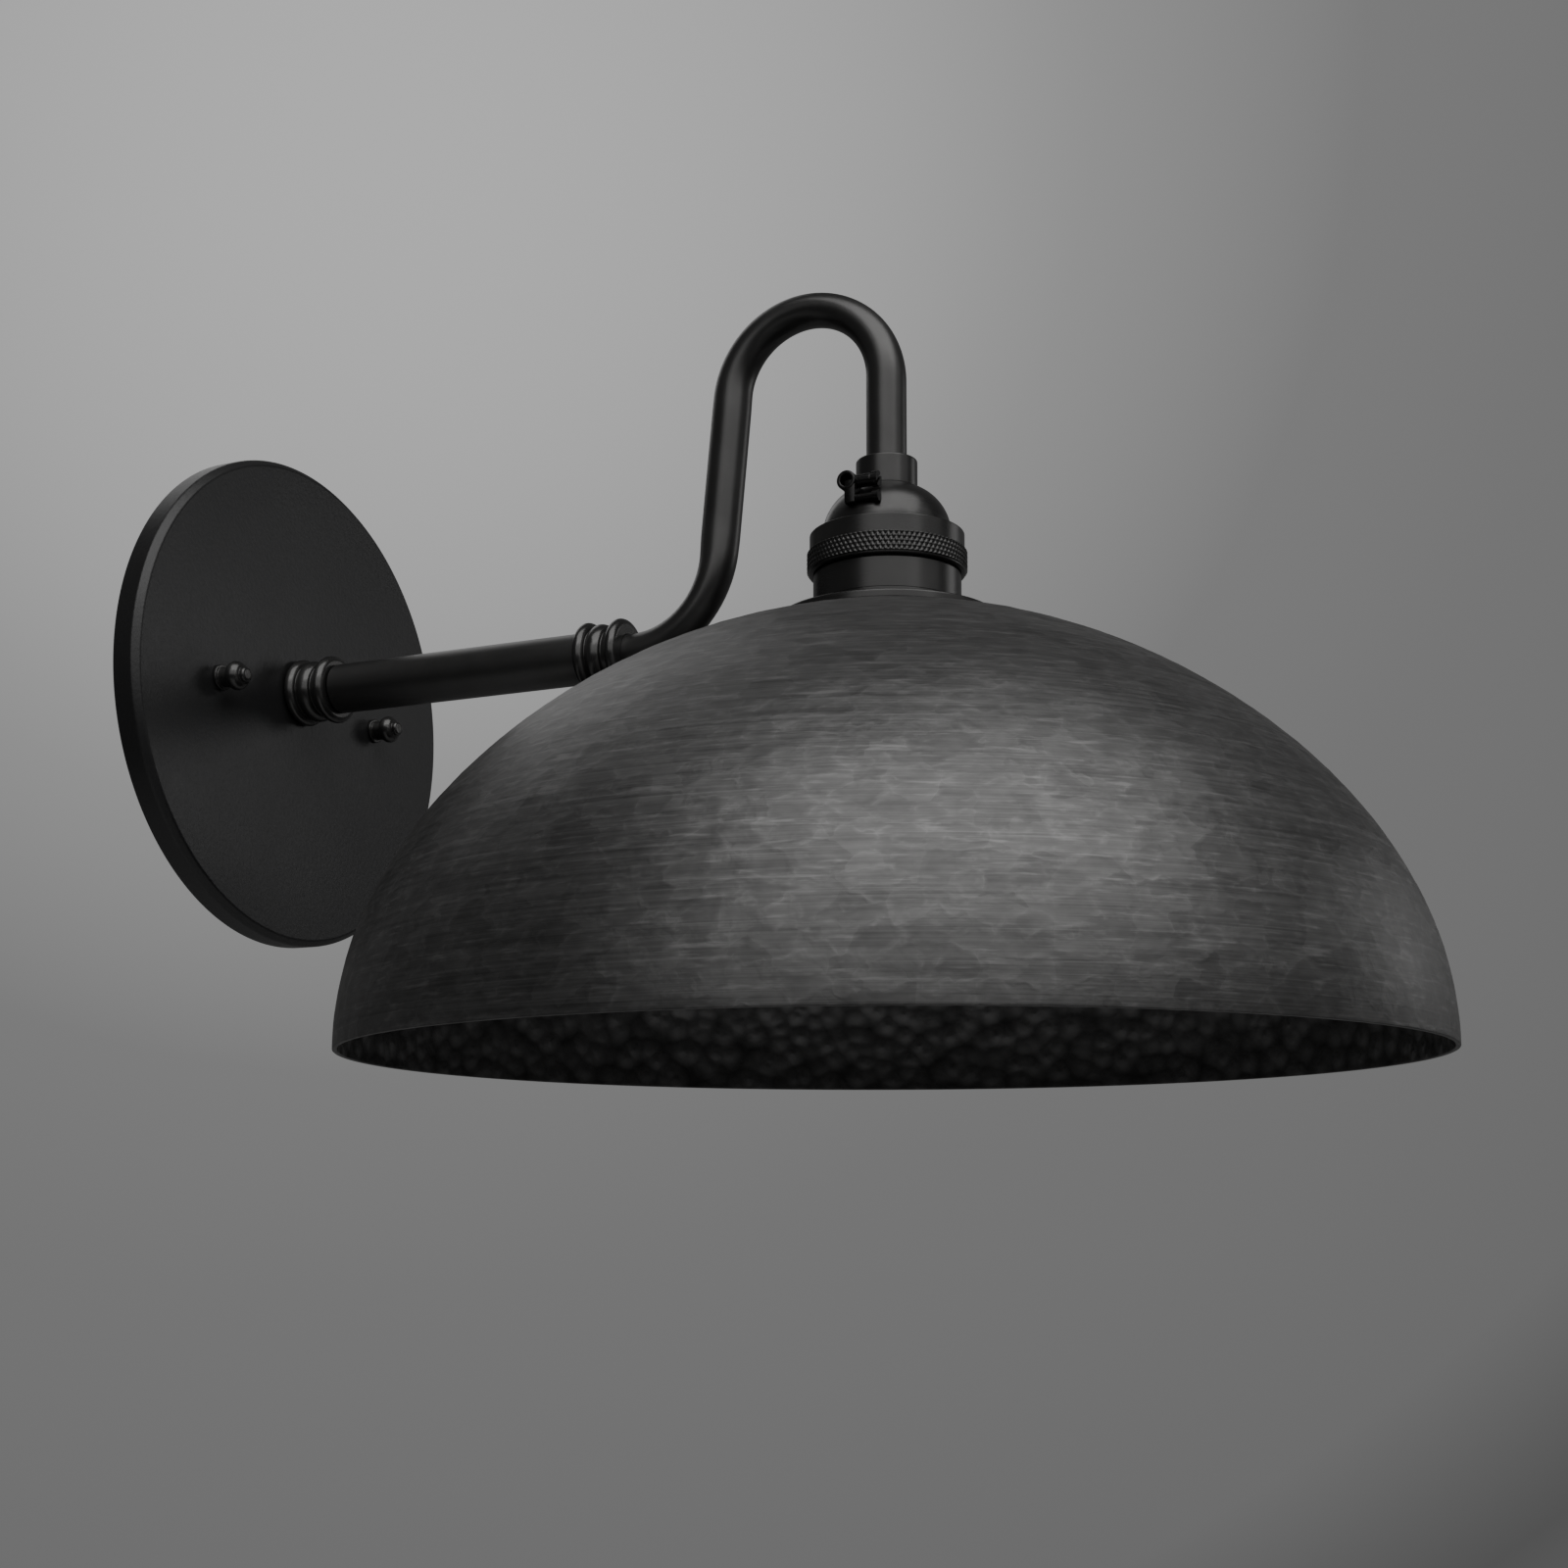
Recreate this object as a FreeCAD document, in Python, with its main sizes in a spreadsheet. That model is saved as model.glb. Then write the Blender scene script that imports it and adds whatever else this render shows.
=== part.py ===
import FreeCAD, Part
import math
import os

import Sketcher

# A gooseneck wall sconce with a hammered dome shade.
# Frame: millimetres, +Z up, the wall is the plane Y = 0 and the light stands out towards -Y.
# The origin is the middle of the wall bracket's back face.

SIZES = [
    # wall bracket, a stamped steel cross that screws to the junction box
    ("bracket_reach", 51.0, "wall bracket: centre to the end of each arm"),
    ("bracket_width", 19.0, "wall bracket: width of each arm"),
    ("bracket_sheet", 1.6, "wall bracket: sheet thickness"),
    ("bracket_corner", 4.0, "wall bracket: corner radius"),
    ("wire_hole_radius", 9.0, "wall bracket: wire hole"),
    ("box_screw_spacing", 79.4, "wall bracket: between the middles of the slots"),
    ("slot_width", 4.6, "wall bracket: slot width"),
    ("slot_length", 14.6, "wall bracket: slot length, end to end"),
    ("ground_hole_offset", 20.0, "wall bracket: earth screw from the centre"),
    # studs, their lock nuts and the turned cap nuts
    ("stud_spacing", 80.0, "canopy studs: centre to centre"),
    ("stud_radius", 2.0, "canopy studs: thread radius"),
    ("stud_length", 14.0, "canopy studs: length"),
    ("stud_nut_flats", 7.0, "stud lock nuts: across flats"),
    ("stud_nut_depth", 3.0, "stud lock nuts: thickness"),
    ("cap_flange_radius", 4.0, "cap nuts: flange radius"),
    ("cap_flange_depth", 1.0, "cap nuts: flange thickness"),
    ("cap_neck_radius", 3.1, "cap nuts: neck radius"),
    ("cap_neck_length", 2.9, "cap nuts: neck length"),
    ("cap_bead_radius", 4.4, "cap nuts: bead radius"),
    ("cap_bead_length", 4.2, "cap nuts: bead length"),
    ("cap_bead_crown", 2.6, "cap nuts: radius of the bead's section"),
    ("cap_tip_radius", 2.2, "cap nuts: tip radius"),
    ("cap_tip_length", 2.0, "cap nuts: tip length"),
    # backplate
    ("plate_radius", 78.0, "backplate: radius"),
    ("plate_depth", 8.6, "backplate: depth from the wall"),
    ("plate_sheet", 1.5, "backplate: sheet thickness"),
    ("plate_edge", 3.0, "backplate: radius of the front edge"),
    # arm: nipple, couplings and straight tube
    ("arm_height", 4.0, "arm: axis above the centre of the backplate"),
    ("nipple_radius", 5.1, "nipples: thread radius"),
    ("nipple_bore", 3.6, "nipples: bore radius"),
    ("nipple_tail", 4.2, "arm nipple: length behind the backplate's sheet"),
    ("arm_nut_flats", 15.0, "arm lock nut: across flats"),
    ("arm_nut_depth", 3.0, "arm lock nut: thickness"),
    ("washer_radius", 8.5, "arm lock washer: radius"),
    ("washer_depth", 0.6, "arm lock washer: thickness"),
    ("ring_radius", 10.4, "couplings: radius of the two end rings"),
    ("ring_width", 3.4, "couplings: width of the two end rings"),
    ("bead_radius", 9.5, "couplings: crown radius of the bead"),
    ("bead_foot", 8.4, "couplings: radius at the foot of the bead"),
    ("bead_width", 5.1, "couplings: width of the bead"),
    ("waist_radius", 7.9, "couplings: waist radius"),
    ("waist_width", 3.4, "couplings: waist width"),
    ("recess_radius", 6.8, "gooseneck coupling: radius of the front recess"),
    ("recess_depth", 1.0, "gooseneck coupling: depth of the front recess"),
    ("thread_grip", 6.5, "threads: length held in each socket"),
    ("tube_radius", 7.5, "straight tube: outer radius"),
    ("tube_length", 90.3, "straight tube: length between the couplings"),
    # gooseneck
    ("neck_radius", 5.4, "gooseneck: outer radius"),
    ("neck_bore", 4.0, "gooseneck: bore radius"),
    ("neck_stub", -0.5, "gooseneck: start of its bend, in front of the coupling"),
    ("lower_bend", 30.0, "gooseneck: centreline radius of the lower bend"),
    ("upper_bend", 24.5, "gooseneck: centreline radius of the top bend"),
    ("arch_height", 95.3, "gooseneck: top of the centreline above the arm"),
    ("leg_tilt", 5.5, "gooseneck: lean of the rising leg, in degrees"),
    # lamp holder, from the shade's land upwards
    ("seat_height", 2.9, "holder: the shade's land above the plate's centre"),
    ("seat_disc_radius", 26.5, "seat ring: disc radius"),
    ("seat_disc_edge", 0.9, "seat ring: thickness at the disc's edge"),
    ("seat_disc_rise", 2.6, "seat ring: height of the flare"),
    ("seat_flare", 7.0, "seat ring: radius of the flare's section"),
    ("seat_ring_height", 5.4, "seat ring: height"),
    ("sleeve_radius", 21.1, "sleeve: outer radius"),
    ("sleeve_thread_radius", 20.5, "sleeve: thread radius"),
    ("sleeve_bore", 18.9, "sleeve: inner radius"),
    ("sleeve_shoulder", 14.1, "sleeve: height of the shoulder"),
    ("sleeve_top", 23.5, "sleeve: height of the threaded top"),
    ("sleeve_drop", 15.0, "sleeve: length below the land"),
    ("sleeve_lip_radius", 17.2, "sleeve: inner radius of the bottom lip"),
    ("sleeve_lip_height", 1.0, "sleeve: thickness of the bottom lip"),
    ("union_bottom", 14.5, "union ring: height of its lower end"),
    ("union_chamfer", 1.0, "union ring: chamfer of the lower end"),
    ("union_bead", 22.4, "union ring: radius of the lower bead"),
    ("knurl_radius", 22.9, "union ring: radius over the knurl"),
    ("knurl_bottom", 16.4, "union ring: lower edge of the knurl"),
    ("knurl_top", 20.5, "union ring: upper edge of the knurl"),
    ("union_radius", 22.05, "union ring: radius of the plain band"),
    ("union_lip", 0.9, "union ring: thickness of the top lip"),
    ("cap_skirt_radius", 18.0, "holder cap: radius at the foot of the dome"),
    ("dome_foot", 26.0, "holder cap: height of the dome's foot"),
    ("dome_curve", 14.35, "holder cap: radius of the dome's section"),
    ("cap_wall", 1.3, "holder cap: wall"),
    ("cap_clamp_radius", 19.6, "holder cap: radius of the clamped flange"),
    ("collar_radius", 8.65, "holder cap: collar radius"),
    ("collar_foot", 39.4, "holder cap: height of the collar's foot"),
    ("collar_top", 47.9, "holder cap: height of the collar's top"),
    ("collar_round", 2.2, "holder cap: rounding of the collar's top"),
    # socket inside the sleeve
    ("core_bore", 13.8, "porcelain core: lamp bore radius"),
    ("core_step", 5.5, "porcelain core: height of the step the screw shell meets"),
    ("core_well", 9.5, "porcelain core: radius of the well above the step"),
    ("core_floor", 10.0, "porcelain core: height of the well's end"),
    ("core_deck", 15.0, "porcelain core: height of the terminal deck"),
    ("core_chamber", 15.5, "porcelain core: radius of the terminal chamber"),
    ("shell_radius", 13.25, "screw shell: inner radius"),
    ("shell_sheet", 0.4, "screw shell: sheet thickness"),
    ("shell_hole", 9.0, "screw shell: radius of the hole in its end"),
    ("contact_radius", 4.0, "centre contact: disc radius"),
    ("contact_disc", 1.0, "centre contact: disc thickness"),
    ("contact_stem", 1.4, "centre contact: stem radius"),
    ("contact_head", 2.6, "centre contact: radius of the riveted head"),
    ("contact_height", 5.6, "centre contact: height of its lower face"),
    ("terminal_sheet", 0.8, "terminal plates: thickness"),
    ("terminal_width", 7.0, "terminal plates: width"),
    ("terminal_offset", 9.5, "terminal plates: screw from the axis"),
    ("screw_radius", 1.5, "terminal screws: thread radius"),
    ("screw_head_radius", 3.0, "terminal screws: head radius"),
    ("screw_head_height", 1.9, "terminal screws: head height"),
    ("screw_grip", 3.6, "terminal screws: length in the core"),
    # earth terminal on the dome
    ("lug_angle", 40.4, "earth lug: its place up the dome's section, in degrees"),
    ("lug_stand", 2.95, "earth lug: middle of its barrel above the dome's skin"),
    ("lug_back", 4.6, "earth lug: middle of its barrel, towards the wall"),
    ("lug_radius", 2.6, "earth lug: barrel radius"),
    ("lug_length", 5.6, "earth lug: barrel length"),
    ("lug_bore", 1.7, "earth lug: wire hole radius"),
    ("lug_end_wall", 0.8, "earth lug: wall at the blind end of the wire hole"),
    ("lug_foot_depth", 6.7, "earth lug: depth of the foot below the barrel's middle"),
    ("lug_foot_width", 3.2, "earth lug: width of the foot"),
    ("lug_boss_radius", 1.8, "earth lug: radius of the screw boss"),
    ("lug_boss_length", 7.0, "earth lug: length of the screw boss"),
    ("clamp_head_radius", 2.2, "clamp screw: head radius"),
    ("clamp_head_depth", 1.8, "clamp screw: head thickness"),
    ("clamp_radius", 1.1, "clamp screw: thread radius"),
    ("clamp_slot", 0.8, "clamp screw: slot width and depth"),
    ("pin_angle", 22.0, "lug pin: its place up the dome's section, in degrees"),
    ("pin_stand", 1.45, "lug pin: its axis above the dome's skin"),
    ("pin_radius", 1.1, "lug pin: shank radius"),
    ("pin_head_radius", 1.6, "lug pin: head radius"),
    ("pin_head_depth", 1.7, "lug pin: head thickness"),
    ("pin_reach", 7.0, "lug pin: length from the foot"),
    # shade and the ring that holds it
    ("shade_radius", 152.4, "shade: outer radius at the rim"),
    ("shade_height", 123.3, "shade: rim to land"),
    ("shade_sheet", 1.3, "shade: sheet thickness"),
    ("shade_land", 26.5, "shade: radius of the flat land"),
    ("crown_fullness", 0.493, "shade: reach of the crown's curve, as a share"),
    ("side_fullness", 0.501, "shade: reach of the side's curve, as a share"),
    ("crown_fall", 9.86, "shade: fall of the crown's curve"),
    ("shade_ring_radius", 25.5, "shade ring: radius"),
    ("shade_ring_height", 6.0, "shade ring: height"),
    ("ring_notch_radius", 2.4, "shade ring: radius of each grip notch"),
    ("ring_notches", 12, "shade ring: grip notches"),
    # clearances
    ("thread_clearance", 0.05, "between a thread and its socket, on the radius"),
    ("hole_clearance", 0.4, "round a screw or thread that passes through a hole"),
    ("running_gap", 0.1, "between faces that turn on each other"),
    ("slip_clearance", 0.1, "between the socket's nested pieces, on the radius"),
]

ROOT3 = math.sqrt(3)
RIGHT_ANGLE = 90
FULL_TURN = 360
DIAGONAL = 45


class Size:
    """A length or an angle that carries its number and the formula that drives it."""

    def __init__(self, value, formula):
        self.value = float(value)
        self.formula = formula

    @staticmethod
    def of(thing):
        """A plain number as a Size; a Size as it is."""
        return thing if isinstance(thing, Size) else Size(thing, repr(float(thing)))

    def _with(self, other, sign, value):
        return Size(value, f"({self.formula} {sign} {other.formula})")

    def __add__(self, other):
        other = Size.of(other)
        return self._with(other, "+", self.value + other.value)

    def __sub__(self, other):
        other = Size.of(other)
        return self._with(other, "-", self.value - other.value)

    def __mul__(self, other):
        other = Size.of(other)
        return self._with(other, "*", self.value * other.value)

    def __truediv__(self, other):
        other = Size.of(other)
        return self._with(other, "/", self.value / other.value)

    def __rsub__(self, other):
        return Size.of(other) - self

    def __neg__(self):
        return Size(-self.value, f"(-1 * {self.formula})")

    __radd__ = __add__
    __rmul__ = __mul__


def sine(angle):
    return Size(math.sin(math.radians(angle.value)), f"sin({angle.formula} * 1 deg)")


def cosine(angle):
    return Size(math.cos(math.radians(angle.value)), f"cos({angle.formula} * 1 deg)")


class Sheet:
    """The spreadsheet of driving sizes; sheet.plate_radius is the Size of that cell."""

    def __init__(self, doc):
        self._cells = doc.addObject("Spreadsheet::Sheet", "Sizes")
        for row, (alias, value, note) in enumerate(SIZES, 1):
            self._cells.set(f"A{row}", note)
            self._cells.set(f"B{row}", str(value))
            self._cells.setAlias(f"B{row}", alias)
        doc.recompute()

    def __getattr__(self, alias):
        return Size(float(self._cells.get(alias)), f"Sizes.{alias}")


ZERO = Size(0, "0")
doc = FreeCAD.newDocument("sconce")
s = Sheet(doc)
finished = []


# ---------------------------------------------------------------- places worked out once

class Places:
    """Where the pieces meet, from the driving sizes."""

    coupling_length = s.ring_width * 2 + s.bead_width + s.waist_width
    plate_inside = s.plate_depth - s.plate_sheet
    tube_start = s.plate_depth + coupling_length
    gooseneck_coupling_start = tube_start + s.tube_length
    gooseneck_coupling_end = gooseneck_coupling_start + coupling_length
    gooseneck_start = gooseneck_coupling_end - s.thread_grip - s.recess_depth
    bend_start = gooseneck_coupling_end + s.neck_stub
    arch_centre = s.arch_height - s.upper_bend
    lean_across = sine(s.leg_tilt)
    lean_up = cosine(s.leg_tilt)
    leg_foot_up = s.lower_bend * (1 - lean_across)
    leg_head_up = arch_centre + s.upper_bend * lean_across
    leg_length = (leg_head_up - leg_foot_up) / lean_up
    arch_middle = (
        bend_start
        + s.lower_bend * lean_up
        + leg_length * lean_across
        + s.upper_bend * lean_up
    )
    reach = arch_middle + s.upper_bend
    neck_end = s.collar_foot
    union_bore = s.sleeve_thread_radius + s.thread_clearance
    union_top = s.dome_foot
    clamp_top = union_top - s.union_lip - s.running_gap
    clamp_bottom = s.sleeve_top + s.running_gap
    core_bottom = s.sleeve_lip_height - s.sleeve_drop
    contact_stem_end = s.core_deck + s.terminal_sheet + s.thread_clearance
    dome_middle = s.cap_skirt_radius - s.dome_curve
    lug_side = dome_middle + (s.dome_curve + s.lug_stand) * cosine(s.lug_angle)
    lug_height = s.dome_foot + (s.dome_curve + s.lug_stand) * sine(s.lug_angle)
    pin_side = dome_middle + (s.dome_curve + s.pin_stand) * cosine(s.pin_angle)
    pin_height = s.dome_foot + (s.dome_curve + s.pin_stand) * sine(s.pin_angle)
    shade_underside = -s.shade_sheet
    ring_top = shade_underside - s.running_gap


# ---------------------------------------------------------------- sketches and features

def origin_plane(body, role):
    return next(f for f in body.Origin.OriginFeatures if f.Role == role)


def new_sketch(body, name, role):
    """A sketch on one of the body's own origin planes."""
    sketch = body.newObject("Sketcher::SketchObject", name)
    sketch.AttachmentSupport = [(origin_plane(body, role), "")]
    sketch.MapMode = "FlatFace"
    return sketch


def hold_point(sketch, edge, end, point):
    """Ties an edge's end to the origin by its two sizes."""
    axes = (("DistanceX", -2, point[0]), ("DistanceY", -1, point[1]))
    for kind, axis, size in axes:
        if size is ZERO:
            sketch.addConstraint(Sketcher.Constraint("PointOnObject", edge, end, axis))
            continue
        rule = Sketcher.Constraint(kind, -1, 1, edge, end, size.value)
        index = sketch.addConstraint(rule)
        sketch.setExpression(f"Constraints[{index}]", size.formula)


def hold_radius(sketch, edge, radius):
    index = sketch.addConstraint(Sketcher.Constraint("Radius", edge, radius.value))
    sketch.setExpression(f"Constraints[{index}]", radius.formula)


def arc_between(start, end, radius, leftward):
    """The shorter arc from start to end, with its centre to the left or the right."""
    chord = end - start
    middle = (start + end) * 0.5
    height = math.sqrt(max(radius**2 - (chord.Length / 2) ** 2, 0))
    normal = FreeCAD.Vector(-chord.y, chord.x, 0).normalize()
    centre = middle + normal * (height if leftward else -height)
    first, last = (start, end) if leftward else (end, start)
    begin = math.atan2(first.y - centre.y, first.x - centre.x)
    finish = math.atan2(last.y - centre.y, last.x - centre.x)
    if finish < begin:
        finish += 2 * math.pi
    circle = Part.Circle(centre, FreeCAD.Vector(0, 0, 1), radius)
    return Part.ArcOfCircle(circle, begin, finish)


def draw(sketch, steps, closed=True):
    """Lines and arcs through the steps.

    A step is (across, up) for a line to that point, or (across, up, radius, side) for an arc
    to it, whose centre lies on that side of the way: "left" or "right".
    """
    points = [(Size.of(step[0]), Size.of(step[1])) for step in steps]
    places = [FreeCAD.Vector(across.value, up.value, 0) for across, up in points]
    count = len(steps) if closed else len(steps) - 1
    ends = []
    for i in range(count):
        j = (i + 1) % len(steps)
        if len(steps[j]) == 2:
            edge = sketch.addGeometry(Part.LineSegment(places[i], places[j]))
            ends.append((edge, 1, 2))
            continue
        radius, side = steps[j][2:]
        leftward = side == "left"
        arc = arc_between(places[i], places[j], radius.value, leftward)
        edge = sketch.addGeometry(arc)
        hold_radius(sketch, edge, radius)
        ends.append((edge, 1, 2) if leftward else (edge, 2, 1))
    for i, (edge, start, end) in enumerate(ends):
        hold_point(sketch, edge, start, points[i])
        if i + 1 < len(ends) or closed:
            following, begin, _ = ends[(i + 1) % len(ends)]
            sketch.addConstraint(
                Sketcher.Constraint("Coincident", edge, end, following, begin)
            )
    if not closed:
        edge, _, end = ends[-1]
        hold_point(sketch, edge, end, points[-1])


def draw_circle(sketch, across, up, radius):
    centre = FreeCAD.Vector(across.value, up.value, 0)
    circle = Part.Circle(centre, FreeCAD.Vector(0, 0, 1), radius.value)
    edge = sketch.addGeometry(circle)
    hold_radius(sketch, edge, radius)
    if across is ZERO and up is ZERO:
        sketch.addConstraint(Sketcher.Constraint("Coincident", edge, 3, -1, 1))
    else:
        hold_point(sketch, edge, 3, (across, up))


def place(piece, x, y, z, rotation=None):
    """Puts a piece at three sizes, turned about X, Y or Z by quarter turns or more."""
    piece.Placement = FreeCAD.Placement(
        FreeCAD.Vector(x.value, y.value, z.value), rotation or FreeCAD.Rotation()
    )
    for axis, size in (("x", x), ("y", y), ("z", z)):
        piece.setExpression(f"Placement.Base.{axis}", size.formula)


def facing_out():
    """Turns a piece's own Z axis from up to straight out from the wall."""
    return FreeCAD.Rotation(FreeCAD.Vector(1, 0, 0), RIGHT_ANGLE)


def on_wall(piece, x, height, out):
    """A piece whose own Z axis points out from the wall, that far from it."""
    place(piece, x, -out, height, facing_out())


def on_holder(piece, height=ZERO):
    """A piece on the lamp holder's axis, that far above the shade's land."""
    place(piece, ZERO, -Places.reach, s.seat_height + height)


def keep(piece, label):
    """Names a finished sub-part, whose label is its file's name."""
    piece.Label = label
    finished.append(piece)
    return piece


def new_body(name):
    return doc.addObject("PartDesign::Body", name)


def turned(label, steps):
    """A body turned about its own Z axis from an outline of radii and heights."""
    body = new_body(label)
    sketch = new_sketch(body, label + "_section", "XZ_Plane")
    draw(sketch, steps)
    turn = body.newObject("PartDesign::Revolution", label + "_turn")
    turn.Profile = sketch
    turn.ReferenceAxis = (sketch, ["V_Axis"])
    turn.Angle = FULL_TURN
    return body


def tube_steps(bore, radius, low, high):
    return [(bore, low), (radius, low), (radius, high), (bore, high)]


def rod_steps(radius, low, high):
    return [(ZERO, low), (radius, low), (radius, high), (ZERO, high)]


def padded(body, sketch, length):
    pad = body.newObject("PartDesign::Pad", sketch.Name + "_pad")
    pad.Profile = sketch
    pad.Length = length.value
    pad.setExpression("Length", length.formula)
    return pad


def cut_through(body, sketch):
    """Cuts a sketch right through the body, both ways."""
    pocket = body.newObject("PartDesign::Pocket", sketch.Name + "_cut")
    pocket.Profile = sketch
    pocket.Type = "ThroughAll"
    pocket.SideType = "Symmetric"
    return pocket


def hex_nut(label, flats, depth, bore):
    """A hexagonal nut along its own Z axis."""
    body = new_body(label)
    sketch = new_sketch(body, label + "_outline", "XY_Plane")
    half = flats / 2
    side = flats / ROOT3
    corners = [(half, side / 2), (ZERO, side), (-half, side / 2)]
    corners += [(-half, -side / 2), (ZERO, -side), (half, -side / 2)]
    draw(sketch, corners)
    draw_circle(sketch, ZERO, ZERO, bore)
    padded(body, sketch, depth)
    return body


# ---------------------------------------------------------------- wall side

def slot_steps(middle):
    """An upright slot of the bracket, with round ends of two quarter arcs each."""
    half = s.slot_width / 2
    run = s.slot_length / 2 - half
    return [
        (half, middle - run, half, "left"),
        (half, middle + run),
        (ZERO, middle + run + half, half, "left"),
        (-half, middle + run, half, "left"),
        (-half, middle - run),
        (ZERO, middle - run - half, half, "left"),
    ]


def wall_bracket():
    """A stamped cross: slots for the box screws up and down, stud holes left and right."""
    body = new_body("wall_bracket")
    cross = new_sketch(body, "bracket_outline", "XY_Plane")
    half = s.bracket_width / 2
    far = s.bracket_reach
    near = far - s.bracket_corner
    inner = half - s.bracket_corner
    corner = s.bracket_corner
    steps = []
    for turn_x, turn_y in ((1, 1), (-1, 1), (-1, -1), (1, -1)):
        # each quarter goes from the sideways arm's corner to the upright arm's corner
        quarter = [
            (turn_x * far, turn_y * inner),
            (turn_x * near, turn_y * half, corner, "left"),
            (turn_x * half, turn_y * half),
            (turn_x * half, turn_y * near),
            (turn_x * inner, turn_y * far, corner, "left"),
        ]
        if turn_x * turn_y < 0:
            corners = [step[:2] for step in reversed(quarter)]
            quarter = [corners[0], corners[1] + (corner, "left"), corners[2]]
            quarter += [corners[3], corners[4] + (corner, "left")]
        steps += quarter
    draw(cross, steps)
    padded(body, cross, s.bracket_sheet)
    holes = new_sketch(body, "bracket_holes", "XY_Plane")
    draw_circle(holes, ZERO, ZERO, s.wire_hole_radius)
    stud_hole = s.stud_radius + s.thread_clearance
    for side in (1, -1):
        draw_circle(holes, side * s.stud_spacing / 2, ZERO, stud_hole)
        draw(holes, slot_steps(side * s.box_screw_spacing / 2))
    draw_circle(holes, s.ground_hole_offset, ZERO, s.screw_radius + s.thread_clearance)
    cut_through(body, holes)
    on_wall(body, ZERO, ZERO, ZERO)
    return keep(body, "wall_bracket")


def earth_screw():
    """The green earth screw of the bracket, with its washer head on the bracket's face."""
    head = s.bracket_sheet + s.screw_head_height
    steps = [
        (ZERO, ZERO),
        (s.screw_radius, ZERO),
        (s.screw_radius, s.bracket_sheet),
        (s.screw_head_radius, s.bracket_sheet),
        (s.screw_head_radius, head),
        (ZERO, head),
    ]
    body = turned("bracket_earth_screw", steps)
    on_wall(body, s.ground_hole_offset, ZERO, ZERO)
    return keep(body, "bracket_earth_screw")


def canopy_fasteners(side, word):
    """A stud, its lock nut on the bracket and the turned cap nut outside."""
    across = side * s.stud_spacing / 2
    stud = turned("canopy_stud_" + word, rod_steps(s.stud_radius, ZERO, s.stud_length))
    on_wall(stud, across, ZERO, ZERO)
    keep(stud, "canopy_stud_" + word)
    bore = s.stud_radius + s.thread_clearance
    nut = hex_nut("stud_lock_nut_" + word, s.stud_nut_flats, s.stud_nut_depth, bore)
    on_wall(nut, across, ZERO, s.bracket_sheet)
    keep(nut, "stud_lock_nut_" + word)
    neck_start = s.cap_flange_depth
    bead_start = neck_start + s.cap_neck_length
    bead_end = bead_start + s.cap_bead_length
    tip_end = bead_end + s.cap_tip_length
    bead_middle = (bead_start + bead_end) / 2
    blind_end = s.stud_length - s.plate_depth + s.hole_clearance
    tip_round = s.cap_tip_radius / 2
    steps = [
        (bore, ZERO),
        (s.cap_flange_radius, ZERO),
        (s.cap_flange_radius, neck_start),
        (s.cap_neck_radius, neck_start),
        (s.cap_neck_radius, bead_start),
        (s.cap_bead_radius, bead_middle, s.cap_bead_crown, "left"),
        (s.cap_tip_radius, bead_end, s.cap_bead_crown, "left"),
        (s.cap_tip_radius, tip_end - tip_round),
        (s.cap_tip_radius - tip_round, tip_end, tip_round, "left"),
        (ZERO, tip_end),
        (ZERO, blind_end),
        (bore, blind_end),
    ]
    cap = turned("cap_nut_" + word, steps)
    on_wall(cap, across, ZERO, s.plate_depth + s.running_gap)
    keep(cap, "cap_nut_" + word)


def backplate():
    """A shallow spun dish with a rounded front edge, open to the wall."""
    edge = s.plate_edge
    inner_edge = edge - s.plate_sheet
    steps = [
        (s.plate_radius - s.plate_sheet, ZERO),
        (s.plate_radius, ZERO),
        (s.plate_radius, s.plate_depth - edge),
        (s.plate_radius - edge, s.plate_depth, edge, "left"),
        (ZERO, s.plate_depth),
        (ZERO, Places.plate_inside),
        (s.plate_radius - edge, Places.plate_inside),
        (s.plate_radius - s.plate_sheet, s.plate_depth - edge, inner_edge, "right"),
    ]
    body = turned("backplate", steps)
    holes = new_sketch(body, "backplate_holes", "XY_Plane")
    draw_circle(holes, ZERO, s.arm_height, s.nipple_radius + s.hole_clearance)
    stud_hole = s.stud_radius + s.hole_clearance
    for side in (1, -1):
        draw_circle(holes, side * s.stud_spacing / 2, ZERO, stud_hole)
    cut_through(body, holes)
    on_wall(body, ZERO, ZERO, ZERO)
    return keep(body, "backplate")


# ---------------------------------------------------------------- arm

def coupling_outside(length):
    """Radii and heights of a turned coupling: ring, bead, waist and ring."""
    ring_round = s.ring_width / 2
    shoulder = s.ring_radius - ring_round
    bead_end = s.ring_width + s.bead_width
    waist_end = bead_end + s.waist_width
    bead_rise = s.bead_radius - s.bead_foot
    half_bead = s.bead_width / 2
    bead_curve = (half_bead * half_bead + bead_rise * bead_rise) / (2 * bead_rise)
    return [
        (shoulder, ZERO),
        (s.ring_radius, ring_round, ring_round, "left"),
        (shoulder, s.ring_width, ring_round, "left"),
        (s.bead_foot, s.ring_width),
        (s.bead_radius, s.ring_width + half_bead, bead_curve, "left"),
        (s.bead_foot, bead_end, bead_curve, "left"),
        (s.waist_radius, bead_end),
        (s.waist_radius, waist_end),
        (shoulder, waist_end),
        (s.ring_radius, waist_end + ring_round, ring_round, "left"),
        (shoulder, length, ring_round, "left"),
    ]


def wall_coupling():
    """Seats on the backplate and is threaded right through on the arm nipple."""
    bore = s.nipple_radius + s.thread_clearance
    length = Places.coupling_length
    steps = [(bore, ZERO)] + coupling_outside(length) + [(bore, length)]
    body = turned("wall_coupling", steps)
    on_wall(body, ZERO, s.arm_height, s.plate_depth)
    return keep(body, "wall_coupling")


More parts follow.
